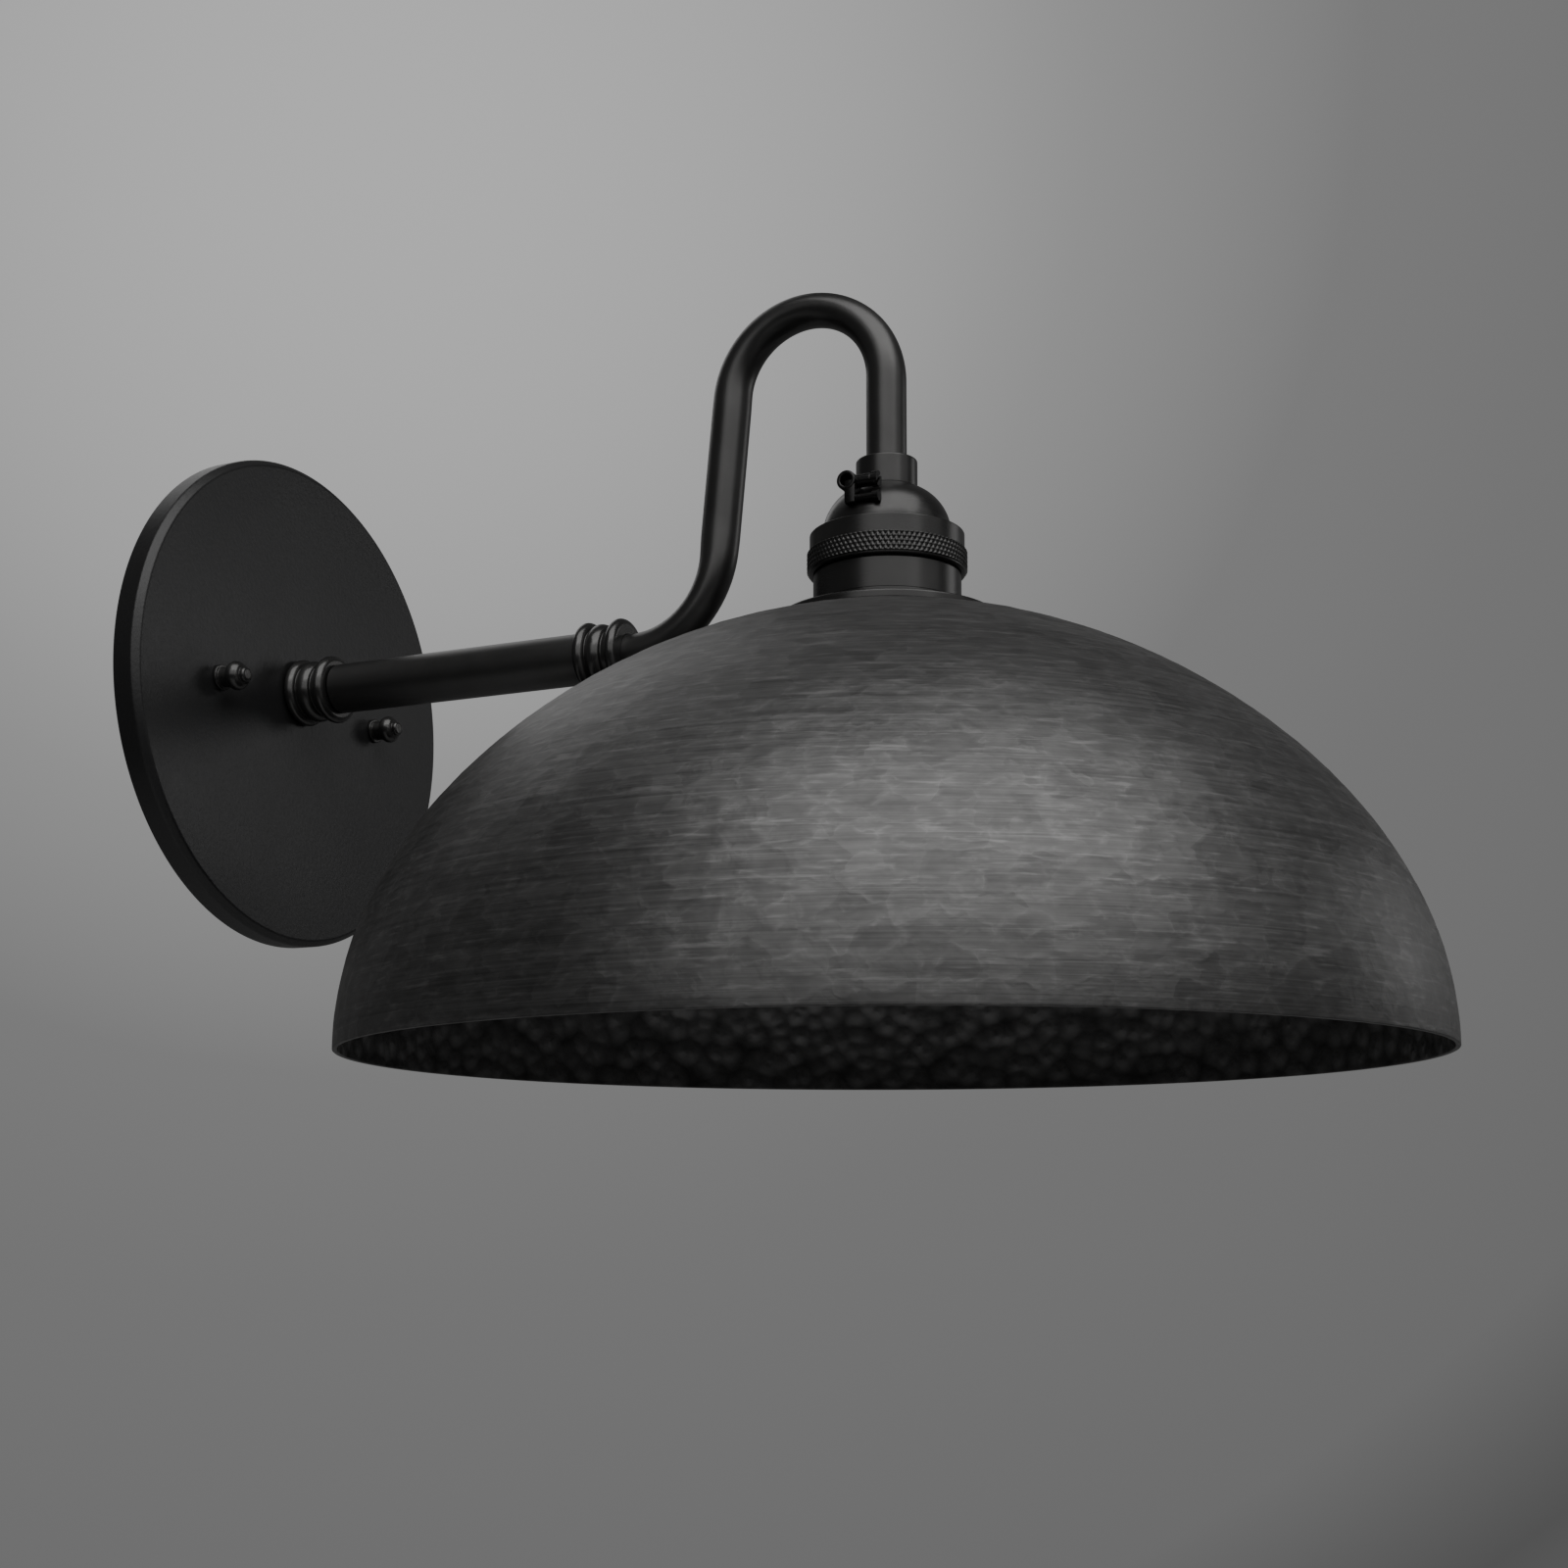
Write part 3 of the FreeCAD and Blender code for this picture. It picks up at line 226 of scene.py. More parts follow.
STUDIO_LIGHTS = (
    # name, azimuth and elevation in degrees, distance, width and height in metres, watts
    ("overhead", -140, 60, 1.6, (2.2, 1.4), 20.5),
    ("front", -153, 23, 1.7, (3.0, 1.3), 11),
    ("window", -94, 28, 1.9, (1.5, 1.3), 2.8),
    ("side", -42, 13, 1.8, (0.6, 0.6), 1.35),
    ("rear", 60, 40, 2.0, (1.2, 1.2), 3.2),
)


# ---------------- shader maths

class Socket:
    """A shader value with Python's operators; each one adds a Math or Vector Math node."""

    def __init__(self, paint, socket):
        self.paint = paint
        self.socket = socket

    def maths(self, operation, *others, output=0):
        """Any operation of the node that fits the value: numbers, or vectors."""
        kind = "ShaderNodeMath"
        if self.socket.type == "VECTOR":
            kind = "ShaderNodeVectorMath"
        return self.paint.node(kind, {"operation": operation}, self, *others, output=output)

    def __add__(self, other):
        return self.maths("ADD", other)

    def __sub__(self, other):
        return self.maths("SUBTRACT", other)

    def __mul__(self, other):
        return self.maths("MULTIPLY", other)

    def __truediv__(self, other):
        return self.maths("DIVIDE", other)

    def __rsub__(self, other):
        return self.paint.node("ShaderNodeMath", {"operation": "SUBTRACT"}, other, self)

    __radd__ = __add__
    __rmul__ = __mul__


class Paint:
    """The node tree of a material, or of the room, under construction."""

    def __init__(self, owner):
        owner.use_nodes = True
        self.owner = owner
        self.tree = owner.node_tree
        self.tree.nodes.clear()

    def node(self, kind, settings=None, *inputs, output=0, **named):
        """Adds a node: its settings first, then values or links to its sockets."""
        made = self.tree.nodes.new(kind)
        for key, value in (settings or {}).items():
            if key == "stops":
                self.set_stops(made.color_ramp, value)
            else:
                setattr(made, key, value)
        for place, value in [*enumerate(inputs), *named.items()]:
            if isinstance(place, str):
                place = place.replace("_", " ")
            self.feed(made.inputs[place], value)
        if made.outputs:
            return Socket(self, made.outputs[output])
        return None

    @staticmethod
    def set_stops(ramp, stops):
        """Sets a ramp's stops from pairs of place and grey."""
        while len(ramp.elements) < len(stops):
            ramp.elements.new(1)
        for element, (place, grey) in zip(ramp.elements, stops):
            element.position = place
            element.color = (grey, grey, grey, 1)

    def feed(self, socket, value):
        if isinstance(value, Socket):
            self.tree.links.new(value.socket, socket)
        elif socket.type == "RGBA" and not isinstance(value, float):
            socket.default_value = (*value[:3], 1)
        else:
            socket.default_value = value

    def place(self):
        """The object's own coordinates, in metres."""
        return self.node("ShaderNodeTexCoord", output=3)

    def parts(self, vector):
        """The three numbers of a vector."""
        first = self.node("ShaderNodeSeparateXYZ", None, vector)
        return [Socket(self, output) for output in first.socket.node.outputs]

    def noise(self, vector, scale, detail=2.0, roughness=0.5):
        return self.node("ShaderNodeTexNoise", None, Vector=vector, Scale=scale,
                         Detail=detail, Roughness=roughness)

    def cells(self, vector, scale, feature="F1", output=0, **named):
        return self.node("ShaderNodeTexVoronoi", {"feature": feature}, output=output,
                         Vector=vector, Scale=scale, **named)

    def ramp(self, factor, *stops, easing="LINEAR"):
        ramp = self.node("ShaderNodeValToRGB", {"stops": stops}, factor)
        ramp.socket.node.color_ramp.interpolation = easing
        return ramp

    def blend(self, factor, first, second):
        """A colour between two colours."""
        mix = self.node("ShaderNodeMix", {"data_type": "RGBA"}, output=2)
        inputs = mix.socket.node.inputs
        for index, value in ((0, factor), (6, first), (7, second)):
            self.feed(inputs[index], value)
        return mix

    def bump(self, height, distance, strength=1.0, below=None):
        named = {"Height": height, "Distance": distance, "Strength": strength}
        if below is not None:
            named["Normal"] = below
        return self.node("ShaderNodeBump", None, **named)

    def finish(self, **sockets):
        """Ends the material with one Principled shader."""
        shader = self.node("ShaderNodeBsdfPrincipled", None, **sockets)
        self.node("ShaderNodeOutputMaterial", None, Surface=shader)
        return self.owner


# ---------------- finishes

def start_finish(name):
    """Paint for a new material, and the coordinates that its patterns follow."""
    paint = Paint(bpy.data.materials.new(name))
    return paint, paint.place()


def toned(tone, by):
    """A colour made lighter or darker."""
    return [min(1.0, c * by) for c in tone]


def powder_black(name, tone):
    """Satin black powder coat: a fine orange peel and a faint unevenness of gloss."""
    p, at = start_finish(name)
    peel = p.noise(at, 900.0, 3.0)
    cloud = p.noise(at, 22.0, 3.0)
    return p.finish(
        Base_Color=p.blend(cloud, tone, [c * 1.35 + 0.002 for c in tone]),
        Roughness=(cloud - 0.5) * 0.12 + (peel - 0.5) * 0.10 + 0.37,
        Specular_IOR_Level=0.5,
        Normal=p.bump(peel, 0.00009, 0.6),
    )


def gunmetal(name, tone, axis, rough):
    """Dark turned metal: fine lathe lines round the axis and slightly brighter worn places."""
    p, at = start_finish(name)
    across, along = 60.0, 5200.0
    stretch = {"Y": (across, along, across), "Z": (across, across, along)}[axis]
    lines = p.noise(at * stretch, 1.0, 3.0)
    cloud = p.noise(at, 60.0, 4.0)
    worn = p.ramp(cloud, (0.45, 0.0), (0.75, 1.0))
    return p.finish(
        Base_Color=p.blend(worn, tone, toned(tone, 1.25)),
        Metallic=0.8,
        Roughness=(lines - 0.5) * 0.10 + (cloud - 0.5) * 0.06 + rough,
        Normal=p.bump(lines, 0.00001, 0.25),
    )


def hammered_steel(name, tone):
    """The shade's outside: soft facets, ground bright in streaks by fine brushing.

    The brushing runs round the dome: its noise is stretched along the surface's circles and
    squeezed down the section, which the "down" attribute measures. Each facet has a tone of its
    own and its hollows show a little in the bump; its edges are lightened where brushing streaks
    cross them, partly brushed wear and partly a painted highlight of edges catching light.
    """
    p, at = start_finish(name)
    down = p.node("ShaderNodeAttribute", {"attribute_name": "down"}, output=2)
    x, y, _ = p.parts(at)

    def streaks(along, across, detail, roughness=0.6):
        place = p.node("ShaderNodeCombineXYZ", None, x * along, y * along, down * across)
        return p.noise(place, 1.0, detail, roughness)

    facets_along, facets_down = 115.0, 175.0
    warp = p.noise(at, 230.0, 2.0) * 0.8
    facet_place = p.node(
        "ShaderNodeCombineXYZ", None, x * facets_along + warp, y * facets_along + warp,
        down * facets_down + warp,
    )
    facet_edge = p.cells(facet_place, 1.0, "DISTANCE_TO_EDGE")
    facet_tone = p.parts(p.cells(facet_place, 1.0, output=1))[0]
    # Lightens the facets' edges in the colour: partly brushed wear, partly painted highlight of
    # edges catching light.
    ridge_wear_and_sheen = p.ramp(facet_edge, (0.0, 1.0), (0.07, 0.55), (0.20, 0.0), easing="EASE")
    hollow = p.ramp(facet_edge, (0.0, 1.0), (0.30, 0.0), easing="EASE")
    patch = streaks(125.0, 300.0, 3.0, 0.55)
    fleck = p.ramp(streaks(150.0, 620.0, 2.0), (0.44, 0.0), (0.66, 1.0))
    dash = p.ramp(streaks(75.0, 720.0, 2.0, 0.5), (0.60, 0.0), (0.74, 1.0))
    scratch = p.ramp(streaks(15.0, 1900.0, 1.0), (0.62, 0.0), (0.74, 1.0))
    fine = streaks(11.0, 1300.0, 2.0, 0.7)
    cloud = p.noise(at, 30.0, 4.0, 0.6)
    wear = (facet_tone - 0.5) * 0.22 + (patch - 0.5) * 0.7 + ridge_wear_and_sheen * fleck * 0.38
    wear = wear + dash * 0.55 + (fine - 0.5) * 0.9 + (cloud - 0.5) * 0.4 + 0.30
    worn = p.blend(wear, toned(tone, 0.72), toned(tone, 1.75))
    shape = p.bump(hollow, 0.00004, 0.8)
    return p.finish(
        Base_Color=p.blend(scratch * 0.14, worn, toned(tone, 3.0)),
        Metallic=0.85,
        Roughness=(fine - 0.5) * 0.14 + (cloud - 0.5) * 0.12 + 0.46,
        Normal=p.bump(fine, 0.000025, 0.8, below=shape),
    )


def lumpy_steel(name, tone):
    """The shade's inside: close lumps left by the hammer's other side, with painted shade
    darkening the creases between them and lighter lump tops.
    """
    p, at = start_finish(name)
    warp = p.noise(at, 180.0, 3.0)
    lumps = p.cells(at, 170.0, "SMOOTH_F1", Smoothness=0.4)
    # Painted shade: the base colour darkens in the creases and lightens on the lumps; creases are
    # also rougher.
    crease_and_painted_shade = p.ramp(lumps + (warp - 0.5) * 0.25, (0.35, 0.0), (0.85, 1.0))
    fine = p.noise(at, 700.0, 3.0)
    shape = p.bump(1.0 - lumps + (warp - 0.5) * 0.3, 0.0008)
    return p.finish(
        Base_Color=p.blend(crease_and_painted_shade, toned(tone, 1.5), toned(tone, 0.6)),
        Metallic=0.7,
        Roughness=(fine - 0.5) * 0.2 + crease_and_painted_shade * 0.12 + 0.42,
        Normal=p.bump(fine, 0.00008, 0.7, below=shape),
    )


def plated(name, tone, rough, stain=0.5):
    """Plated or mill-finish metal: cloudy gloss and a few dull stains."""
    p, at = start_finish(name)
    cloud = p.noise(at, 130.0, 4.0)
    grain = p.noise(at * (400.0, 400.0, 3000.0), 1.0)
    dull = p.ramp(cloud, (0.5, 0.0), (0.8, 1.0))
    return p.finish(
        Base_Color=p.blend(dull * stain, tone, toned(tone, 0.6)),
        Metallic=1.0,
        Roughness=(cloud - 0.5) * 0.2 + (grain - 0.5) * 0.1 + rough,
        Normal=p.bump(grain, 0.00002, 0.4),
    )


def glazed(name, tone):
    """Glazed porcelain: a slightly wavy, clear gloss over a warm white body."""
    p, at = start_finish(name)
    wave = p.noise(at, 160.0)
    speck = p.ramp(p.noise(at, 1500.0), (0.70, 0.0), (0.76, 1.0))
    return p.finish(
        Base_Color=p.blend(speck * 0.3, tone, toned(tone, 0.7)),
        Roughness=(wave - 0.5) * 0.1 + 0.16,
        Coat_Weight=0.6,
        Coat_Roughness=0.06,
        Normal=p.bump(wave, 0.0002, 0.5),
    )


def floor_grey(name, tone, reach):
    """A plain pale floor with the faintest mottling, which fades out towards its edge."""
    p, at = start_finish(name)
    cloud = p.noise(at, 3.0, 3.0)
    away = (at * (1.0, 1.0, 0.0)).maths("LENGTH", output=1)
    return p.finish(
        Base_Color=p.blend(cloud, tone, toned(tone, 1.08)),
        Roughness=(cloud - 0.5) * 0.1 + 0.8,
        Alpha=p.ramp(away / reach, (0.45, 1.0), (0.98, 0.0), easing="EASE"),
    )


# ---------------- sections

def rounded(corners, steps=5):
    """Radii and heights of a section whose corners are rounded, in metres.

    Each corner gives a radius, a height and the size of its rounding, in millimetres. The curve
    at a corner is B(t) = (1-t)^2 A + 2t(1-t) C + t^2 D, where C is the corner and A and D lie
    on the two sides, as far from it as the rounding says.
    """
    corners = np.array(corners, float)
    at, reach = corners[:, :2], corners[:, 2:3]
    before, after = np.roll(at, 1, 0) - at, np.roll(at, -1, 0) - at
    before_long = np.linalg.norm(before, axis=1, keepdims=True)
    after_long = np.linalg.norm(after, axis=1, keepdims=True)
    start = at + before / before_long * np.minimum(reach, before_long * 0.48)
    end = at + after / after_long * np.minimum(reach, after_long * 0.48)
    t = np.linspace(0, 1, steps)[None, :, None]
    curve = (1 - t) ** 2 * start[:, None] + 2 * t * (1 - t) * at[:, None]
    curve = curve + t**2 * end[:, None]
    return tidied(curve.reshape(-1, 2)) * MM


def tidied(section, least=1e-5):
    """A section without repeated points."""
    far = np.linalg.norm(section - np.roll(section, 1, 0), axis=1)
    return section[far > least]


def supported(section, gap=0.00018):
    """A closed section with extra points close to both ends of its long straight sides.

    They hold the shading of a flat side level right up to its rounded corners.
    """
    following = np.roll(section, -1, 0)
    side = following - section
    far = np.linalg.norm(side, axis=1, keepdims=True)
    long_side = (far > gap * 5)[:, 0]
    ratio = np.minimum(gap / far, 0.5)
    near = section + side * ratio
    late = following - side * ratio
    points = np.stack([section, near, late], 1)
    wanted = np.stack([np.ones_like(long_side), long_side, long_side], 1)
    return points[wanted]


def lathe_section(corners, solid=False):
    """A rounded section with support points; a solid's ends stay as they are, on the axis."""
    curve = supported(rounded(corners))
    if not solid:
        return curve
    last = np.flatnonzero(curve[:, 0] < 1e-9)[1]
    return curve[:last + 1]


def arc(centre, radius, first, last, steps):
    """Points on a circle, from one angle in degrees to another, with no rounding."""
    turn = np.radians(np.linspace(first, last, steps))
    across = centre[0] + radius * np.cos(turn)
    up = centre[1] + radius * np.sin(turn)
    return np.stack([across, up, np.zeros(steps)], 1).tolist()


def wall(radius, low, high, steps):
    """Points up a straight wall, for a thread or a knurl to move."""
    return [(radius, height, 0) for height in np.linspace(low, high, steps)]


def way_along(section):
    """How far each point of an open section is from its first point."""
    step = np.linalg.norm(np.diff(section, axis=0), axis=1)
    return np.concatenate([[0], np.cumsum(step)])


# ---------------- surfaces

def grid_faces(rows, columns, close_rows):
    """Quads of a grid that closes round its columns, and over its rows if they close too."""
    row = np.arange(rows if close_rows else rows - 1)[:, None]
    column = np.arange(columns)[None, :]
    next_row, next_column = (row + 1) % rows, (column + 1) % columns
    quads = [row * columns + column, row * columns + next_column,
             next_row * columns + next_column, next_row * columns + column]
    return np.stack(np.broadcast_arrays(*quads), -1).reshape(-1, 4)


def volume_of(points, quads):
    """Six times the signed volume of a closed mesh: the sum of a . (b x c) over triangles."""
    a, b, c, d = (points[quads[:, i]] for i in range(4))
    first = np.einsum("ij,ij->i", a, np.cross(b, c))
    return (first + np.einsum("ij,ij->i", a, np.cross(c, d))).sum()


def new_piece(name, grid, close_rows=True, open_sheet=False):
    """Puts a grid of points into a mesh object, with its faces pointing outwards.

    Rows that don't close start and end on the axis, where their points are merged.
    """
    rows, columns = grid.shape[:2]
    points = grid.reshape(-1, 3)
    quads = grid_faces(rows, columns, close_rows)
    if not open_sheet and volume_of(points, quads) < 0:
        quads = quads[:, ::-1]
    mesh = bpy.data.meshes.new(name)
    mesh.vertices.add(len(points))
    mesh.vertices.foreach_set("co", points.astype(np.float32).ravel())
    mesh.loops.add(quads.size)
    mesh.loops.foreach_set("vertex_index", quads.astype(np.int32).ravel())
    mesh.polygons.add(len(quads))
    starts = np.arange(0, quads.size, 4, dtype=np.int32)
    mesh.polygons.foreach_set("loop_start", starts)
    mesh.polygons.foreach_set("use_smooth", np.ones(len(quads), bool))
    mesh.update(calc_edges=True)
    if not close_rows:
        close_poles(mesh)
    mesh.validate()
    piece = bpy.data.objects.new(name, mesh)
    bpy.context.collection.objects.link(piece)
    return piece


def close_poles(mesh, least=1e-6):
    """Merges the points that meet on the axis."""
    shell = bmesh.new()
    shell.from_mesh(mesh)
    bmesh.ops.remove_doubles(shell, verts=shell.verts, dist=least)
    shell.to_mesh(mesh)
    shell.free()


def facing(axis, middle):
    """Where a turned piece stands: the point that its heights start from, and their way.

    Heights run up for Z, out from the wall for Y and to the right for X.
    """
    place = Matrix.Translation(middle)
    if axis == "Z":
        return place
    return place @ Matrix.Rotation(math.radians(90), 4, {"Y": "X", "X": "Y"}[axis])


def on_holder():
    """The place of every piece round the holder's axis: its heights start at the land."""
    return facing("Z", (0, -HOLDER_OUT, LAND_HEIGHT))


def spin_points(section, columns, wave=None):
    """Turns a section about Z: x = r cos a, y = r sin a, z = h, with r = r0 + wave(a, h, r0)."""
    turn = np.linspace(0, TURN, columns, endpoint=False)[None, :]
    radius = np.broadcast_to(section[:, :1], (len(section), columns))
    height = np.broadcast_to(section[:, 1:2], radius.shape)
    if wave is not None:
        radius = radius + wave(turn, height, radius)
    return np.stack([radius * np.cos(turn), radius * np.sin(turn), height], -1)


def moved(points, place):
    """A grid of points carried by a placement matrix."""
    return points @ np.array(place.to_3x3()).T + np.array(place.translation)


def turned_piece(name, corners, place, columns=128, wave=None, solid=False):
    """A lathe piece from a section's corners; a solid one starts and ends on the axis."""
    section = lathe_section(corners, solid)
    grid = moved(spin_points(section, columns, wave), place)
    return new_piece(name, grid, close_rows=not solid)


def bent_tube(name, path, radius, bore, flattened, columns=64):
    """A tube along a path in the plane X = 0: p + r (cos a X + f sin a N), with N across the way.

    Here f is the share that bending leaves of the tube's depth. The outer wall runs along the
    path and the inner wall runs back, so the ends are closed rings.
    """
    turn = np.linspace(0, TURN, columns, endpoint=False)[None, :, None]
    along = np.gradient(path, axis=0)
    along /= np.linalg.norm(along, axis=1, keepdims=True)
    side = np.array([1.0, 0, 0])
    across = np.cross(np.broadcast_to(side, along.shape), along)[:, None, :]
    depth = flattened[:, None, None]
    outer = path[:, None, :] + radius * (np.cos(turn) * side + depth * np.sin(turn) * across)
    inner = path[:, None, :] + bore * (np.cos(turn) * side + np.sin(turn) * across)
    return new_piece(name, np.concatenate([outer, inner[::-1]]))


def soft_block(name, low, high, edge, steps=5):
    """A block with round edges: each level is the outline c + s (half - edge) + edge sin t u.

    Here c is the middle, s the corner's signs, u a unit direction and t the angle of the rounding,
    which goes from 0 at a face to a right angle at the sides.
    """
    low, high = np.array(low), np.array(high)
    half = (high - low)[:2] / 2
    quarter = np.arange(4)[:, None] * math.pi / 2
    turn = (quarter + np.linspace(0, math.pi / 2, steps)[None, :]).ravel()
    corner = np.repeat((quarter + math.pi / 4).ravel(), steps)
    signs = np.sign(np.stack([np.cos(corner), np.sin(corner)], 1))
    unit = np.stack([np.cos(turn), np.sin(turn)], 1)
    rounding = np.linspace(0, math.pi / 2, steps)
    reach = np.sin(np.concatenate([rounding, rounding[::-1]]))[:, None, None] * edge
    outline = (low + high)[:2] / 2 + signs * (half - edge) + unit * reach
    fall = edge * (1 - np.cos(rounding))
    level = np.concatenate([low[2] + fall, (high[2] - fall)[::-1]])
    heights = np.broadcast_to(level[:, None, None], (*outline.shape[:2], 1))
    walls = np.concatenate([outline, heights], -1)
    ends = np.broadcast_to((low + high) / 2, (2, outline.shape[1], 3)).copy()
    ends[0, :, 2], ends[1, :, 2] = low[2], high[2]
    grid = np.concatenate([ends[:1], walls, ends[1:]])
    return new_piece(name, grid, close_rows=False)


def dress(piece, material, body, slot, *nodes):
    """Paints a new piece, hangs it under its body's empty and hides the nodes that it stands for.
    """
    piece.data.materials.append(material)
    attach(piece, body)
    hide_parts(*nodes)
    return piece


# ---------------- hammering

def hammer_marks(down, turn, radius, blow, seed):
    """How far each place is from the nearest hammer blow, as a share of the blows' spacing.

    Blows stand in rings, one spacing apart down the shade, and ring k has as many of them as
    its length over the spacing. Each is moved about by chance by up to 0.4 of the spacing. The
    distance is the root of (way down)^2 + (radius x angle)^2, and the least over the nearest
    three blows of the nearest three rings is kept.
    """
    table, margin = 400, 0.1
    chance = np.random.default_rng(seed).random((table, table, 2))
    shift = margin + (1 - 2 * margin) * chance
    ring = np.floor(down / blow).astype(int)
    number = np.maximum(np.round(TURN * radius / blow), 3).astype(int)
    number = number - number % 4 + 4
    slot = np.floor(turn / TURN * number).astype(int)
    nearest = np.full(np.broadcast(down, turn).shape, np.inf)
    for ring_step in (-1, 0, 1):
        row = ring + ring_step
        for slot_step in (-1, 0, 1):
            blow_slot = (slot + slot_step) % number
            jitter = shift[row % table, blow_slot % table]
            blow_down = (row + jitter[..., 0]) * blow
            blow_turn = (blow_slot + jitter[..., 1]) / number * TURN
            apart = (turn - blow_turn + math.pi) % TURN - math.pi
            far = np.hypot(down - blow_down, radius * apart) / blow
            nearest = np.minimum(nearest, far)
    return nearest


def dome_curve(start, end, sizes, points):
    """The shade's section, evenly spaced: one cubic Bezier curve from the land to the rim."""
    (start_radius, start_height), (end_radius, end_height) = start, end
    fall = start_height - end_height
    x = [start_radius, start_radius + sizes.crown_fullness * (end_radius - start_radius),
         end_radius, end_radius]
    z = [start_height, start_height - sizes.crown_fall,
         end_height + sizes.side_fullness * fall, end_height]
    t = np.linspace(0, 1, 1500)
    basis = np.stack([(1 - t) ** 3, 3 * (1 - t) ** 2 * t, 3 * (1 - t) * t**2, t**3])
    curve = np.stack([np.array(x) @ basis, np.array(z) @ basis], 1)
    along = way_along(curve)
    even = np.linspace(0, along[-1], points)
    return np.stack([np.interp(even, along, curve[:, i]) for i in (0, 1)], 1)


def outward(section, sign):
    """Unit normals of an open section, to its left (+1) or right (-1)."""
    along = np.gradient(section, axis=0)
    normal = np.stack([-along[:, 1], along[:, 0]], 1)
    return sign * normal / np.linalg.norm(normal, axis=1, keepdims=True)


# ---------------- operators

class SCONCE_OT_wall_plate(bpy.types.Operator):
    """Makes the backplate and the two cap nuts that hold it"""

    bl_idname = "sconce.wall_plate"
    bl_label = "Backplate and Cap Nuts"

    def execute(self, context):
        sizes = context.scene.sconce_plate
        finish = context.scene.sconce_finish
        plate = turned_piece("canopy_plate", self.plate_section(sizes), facing("Y", (0, 0, 0)),
                             columns=320, solid=True)
        black = powder_black("powder black", finish.black)
        dress(plate, black, "fixture", "black_plate", "backplate")
        turned = gunmetal("gunmetal, cap nuts", finish.gunmetal, "Y", 0.25)
        for word in ("left", "right"):
            node = "cap_nut_" + word
            x, _, z = middle_of(node)
            place = facing("Y", (x, wall_end(node), z))
            cap = turned_piece("turned_cap_" + word, self.cap_section(sizes), place,
                               columns=72, solid=True)
            dress(cap, turned, "cap_" + word, "black_turned", node)
        return {"FINISHED"}

    @staticmethod
    def plate_section(sizes):
        """A flat face, a chamfer and a straight wall round a hollow back."""
        outside, deep = mm(sizes.radius), mm(sizes.depth)
        inside, hollow = outside - mm(sizes.sheet), deep - mm(sizes.sheet)
        chamfer = mm(sizes.chamfer)
        return [(0, deep, 0), (outside - chamfer, deep, 0.5), (outside, deep - chamfer, 0.5),
                (outside, 0, 0.3), (inside, 0, 0.3), (inside, hollow, 1.0), (0, hollow, 0)]

    @staticmethod
    def cap_section(sizes):
        """A foot, a neck, a bead and a round tip, over a blind hole."""
        foot, foot_top = mm(sizes.cap_foot), 1.0
        neck, neck_top = 3.1, 3.75
        tip, tip_low, top = 2.3, 8.4, mm(sizes.cap_height)
        hole, hole_deep = mm(sizes.stud_hole), 5.8
        bead = arc((1.86, 6.0), mm(sizes.cap_bead), -62, 66, 14)
        return [(0, hole_deep, 0), (hole, hole_deep, 0), (hole, 0, 0.2), (foot, 0, 0.25),
                (foot, foot_top, 0.25), (neck, foot_top, 0.15), (neck, neck_top, 0.1), *bead,
                (tip, tip_low, 0.15), (tip, top, 1.0), (0, top, 0)]


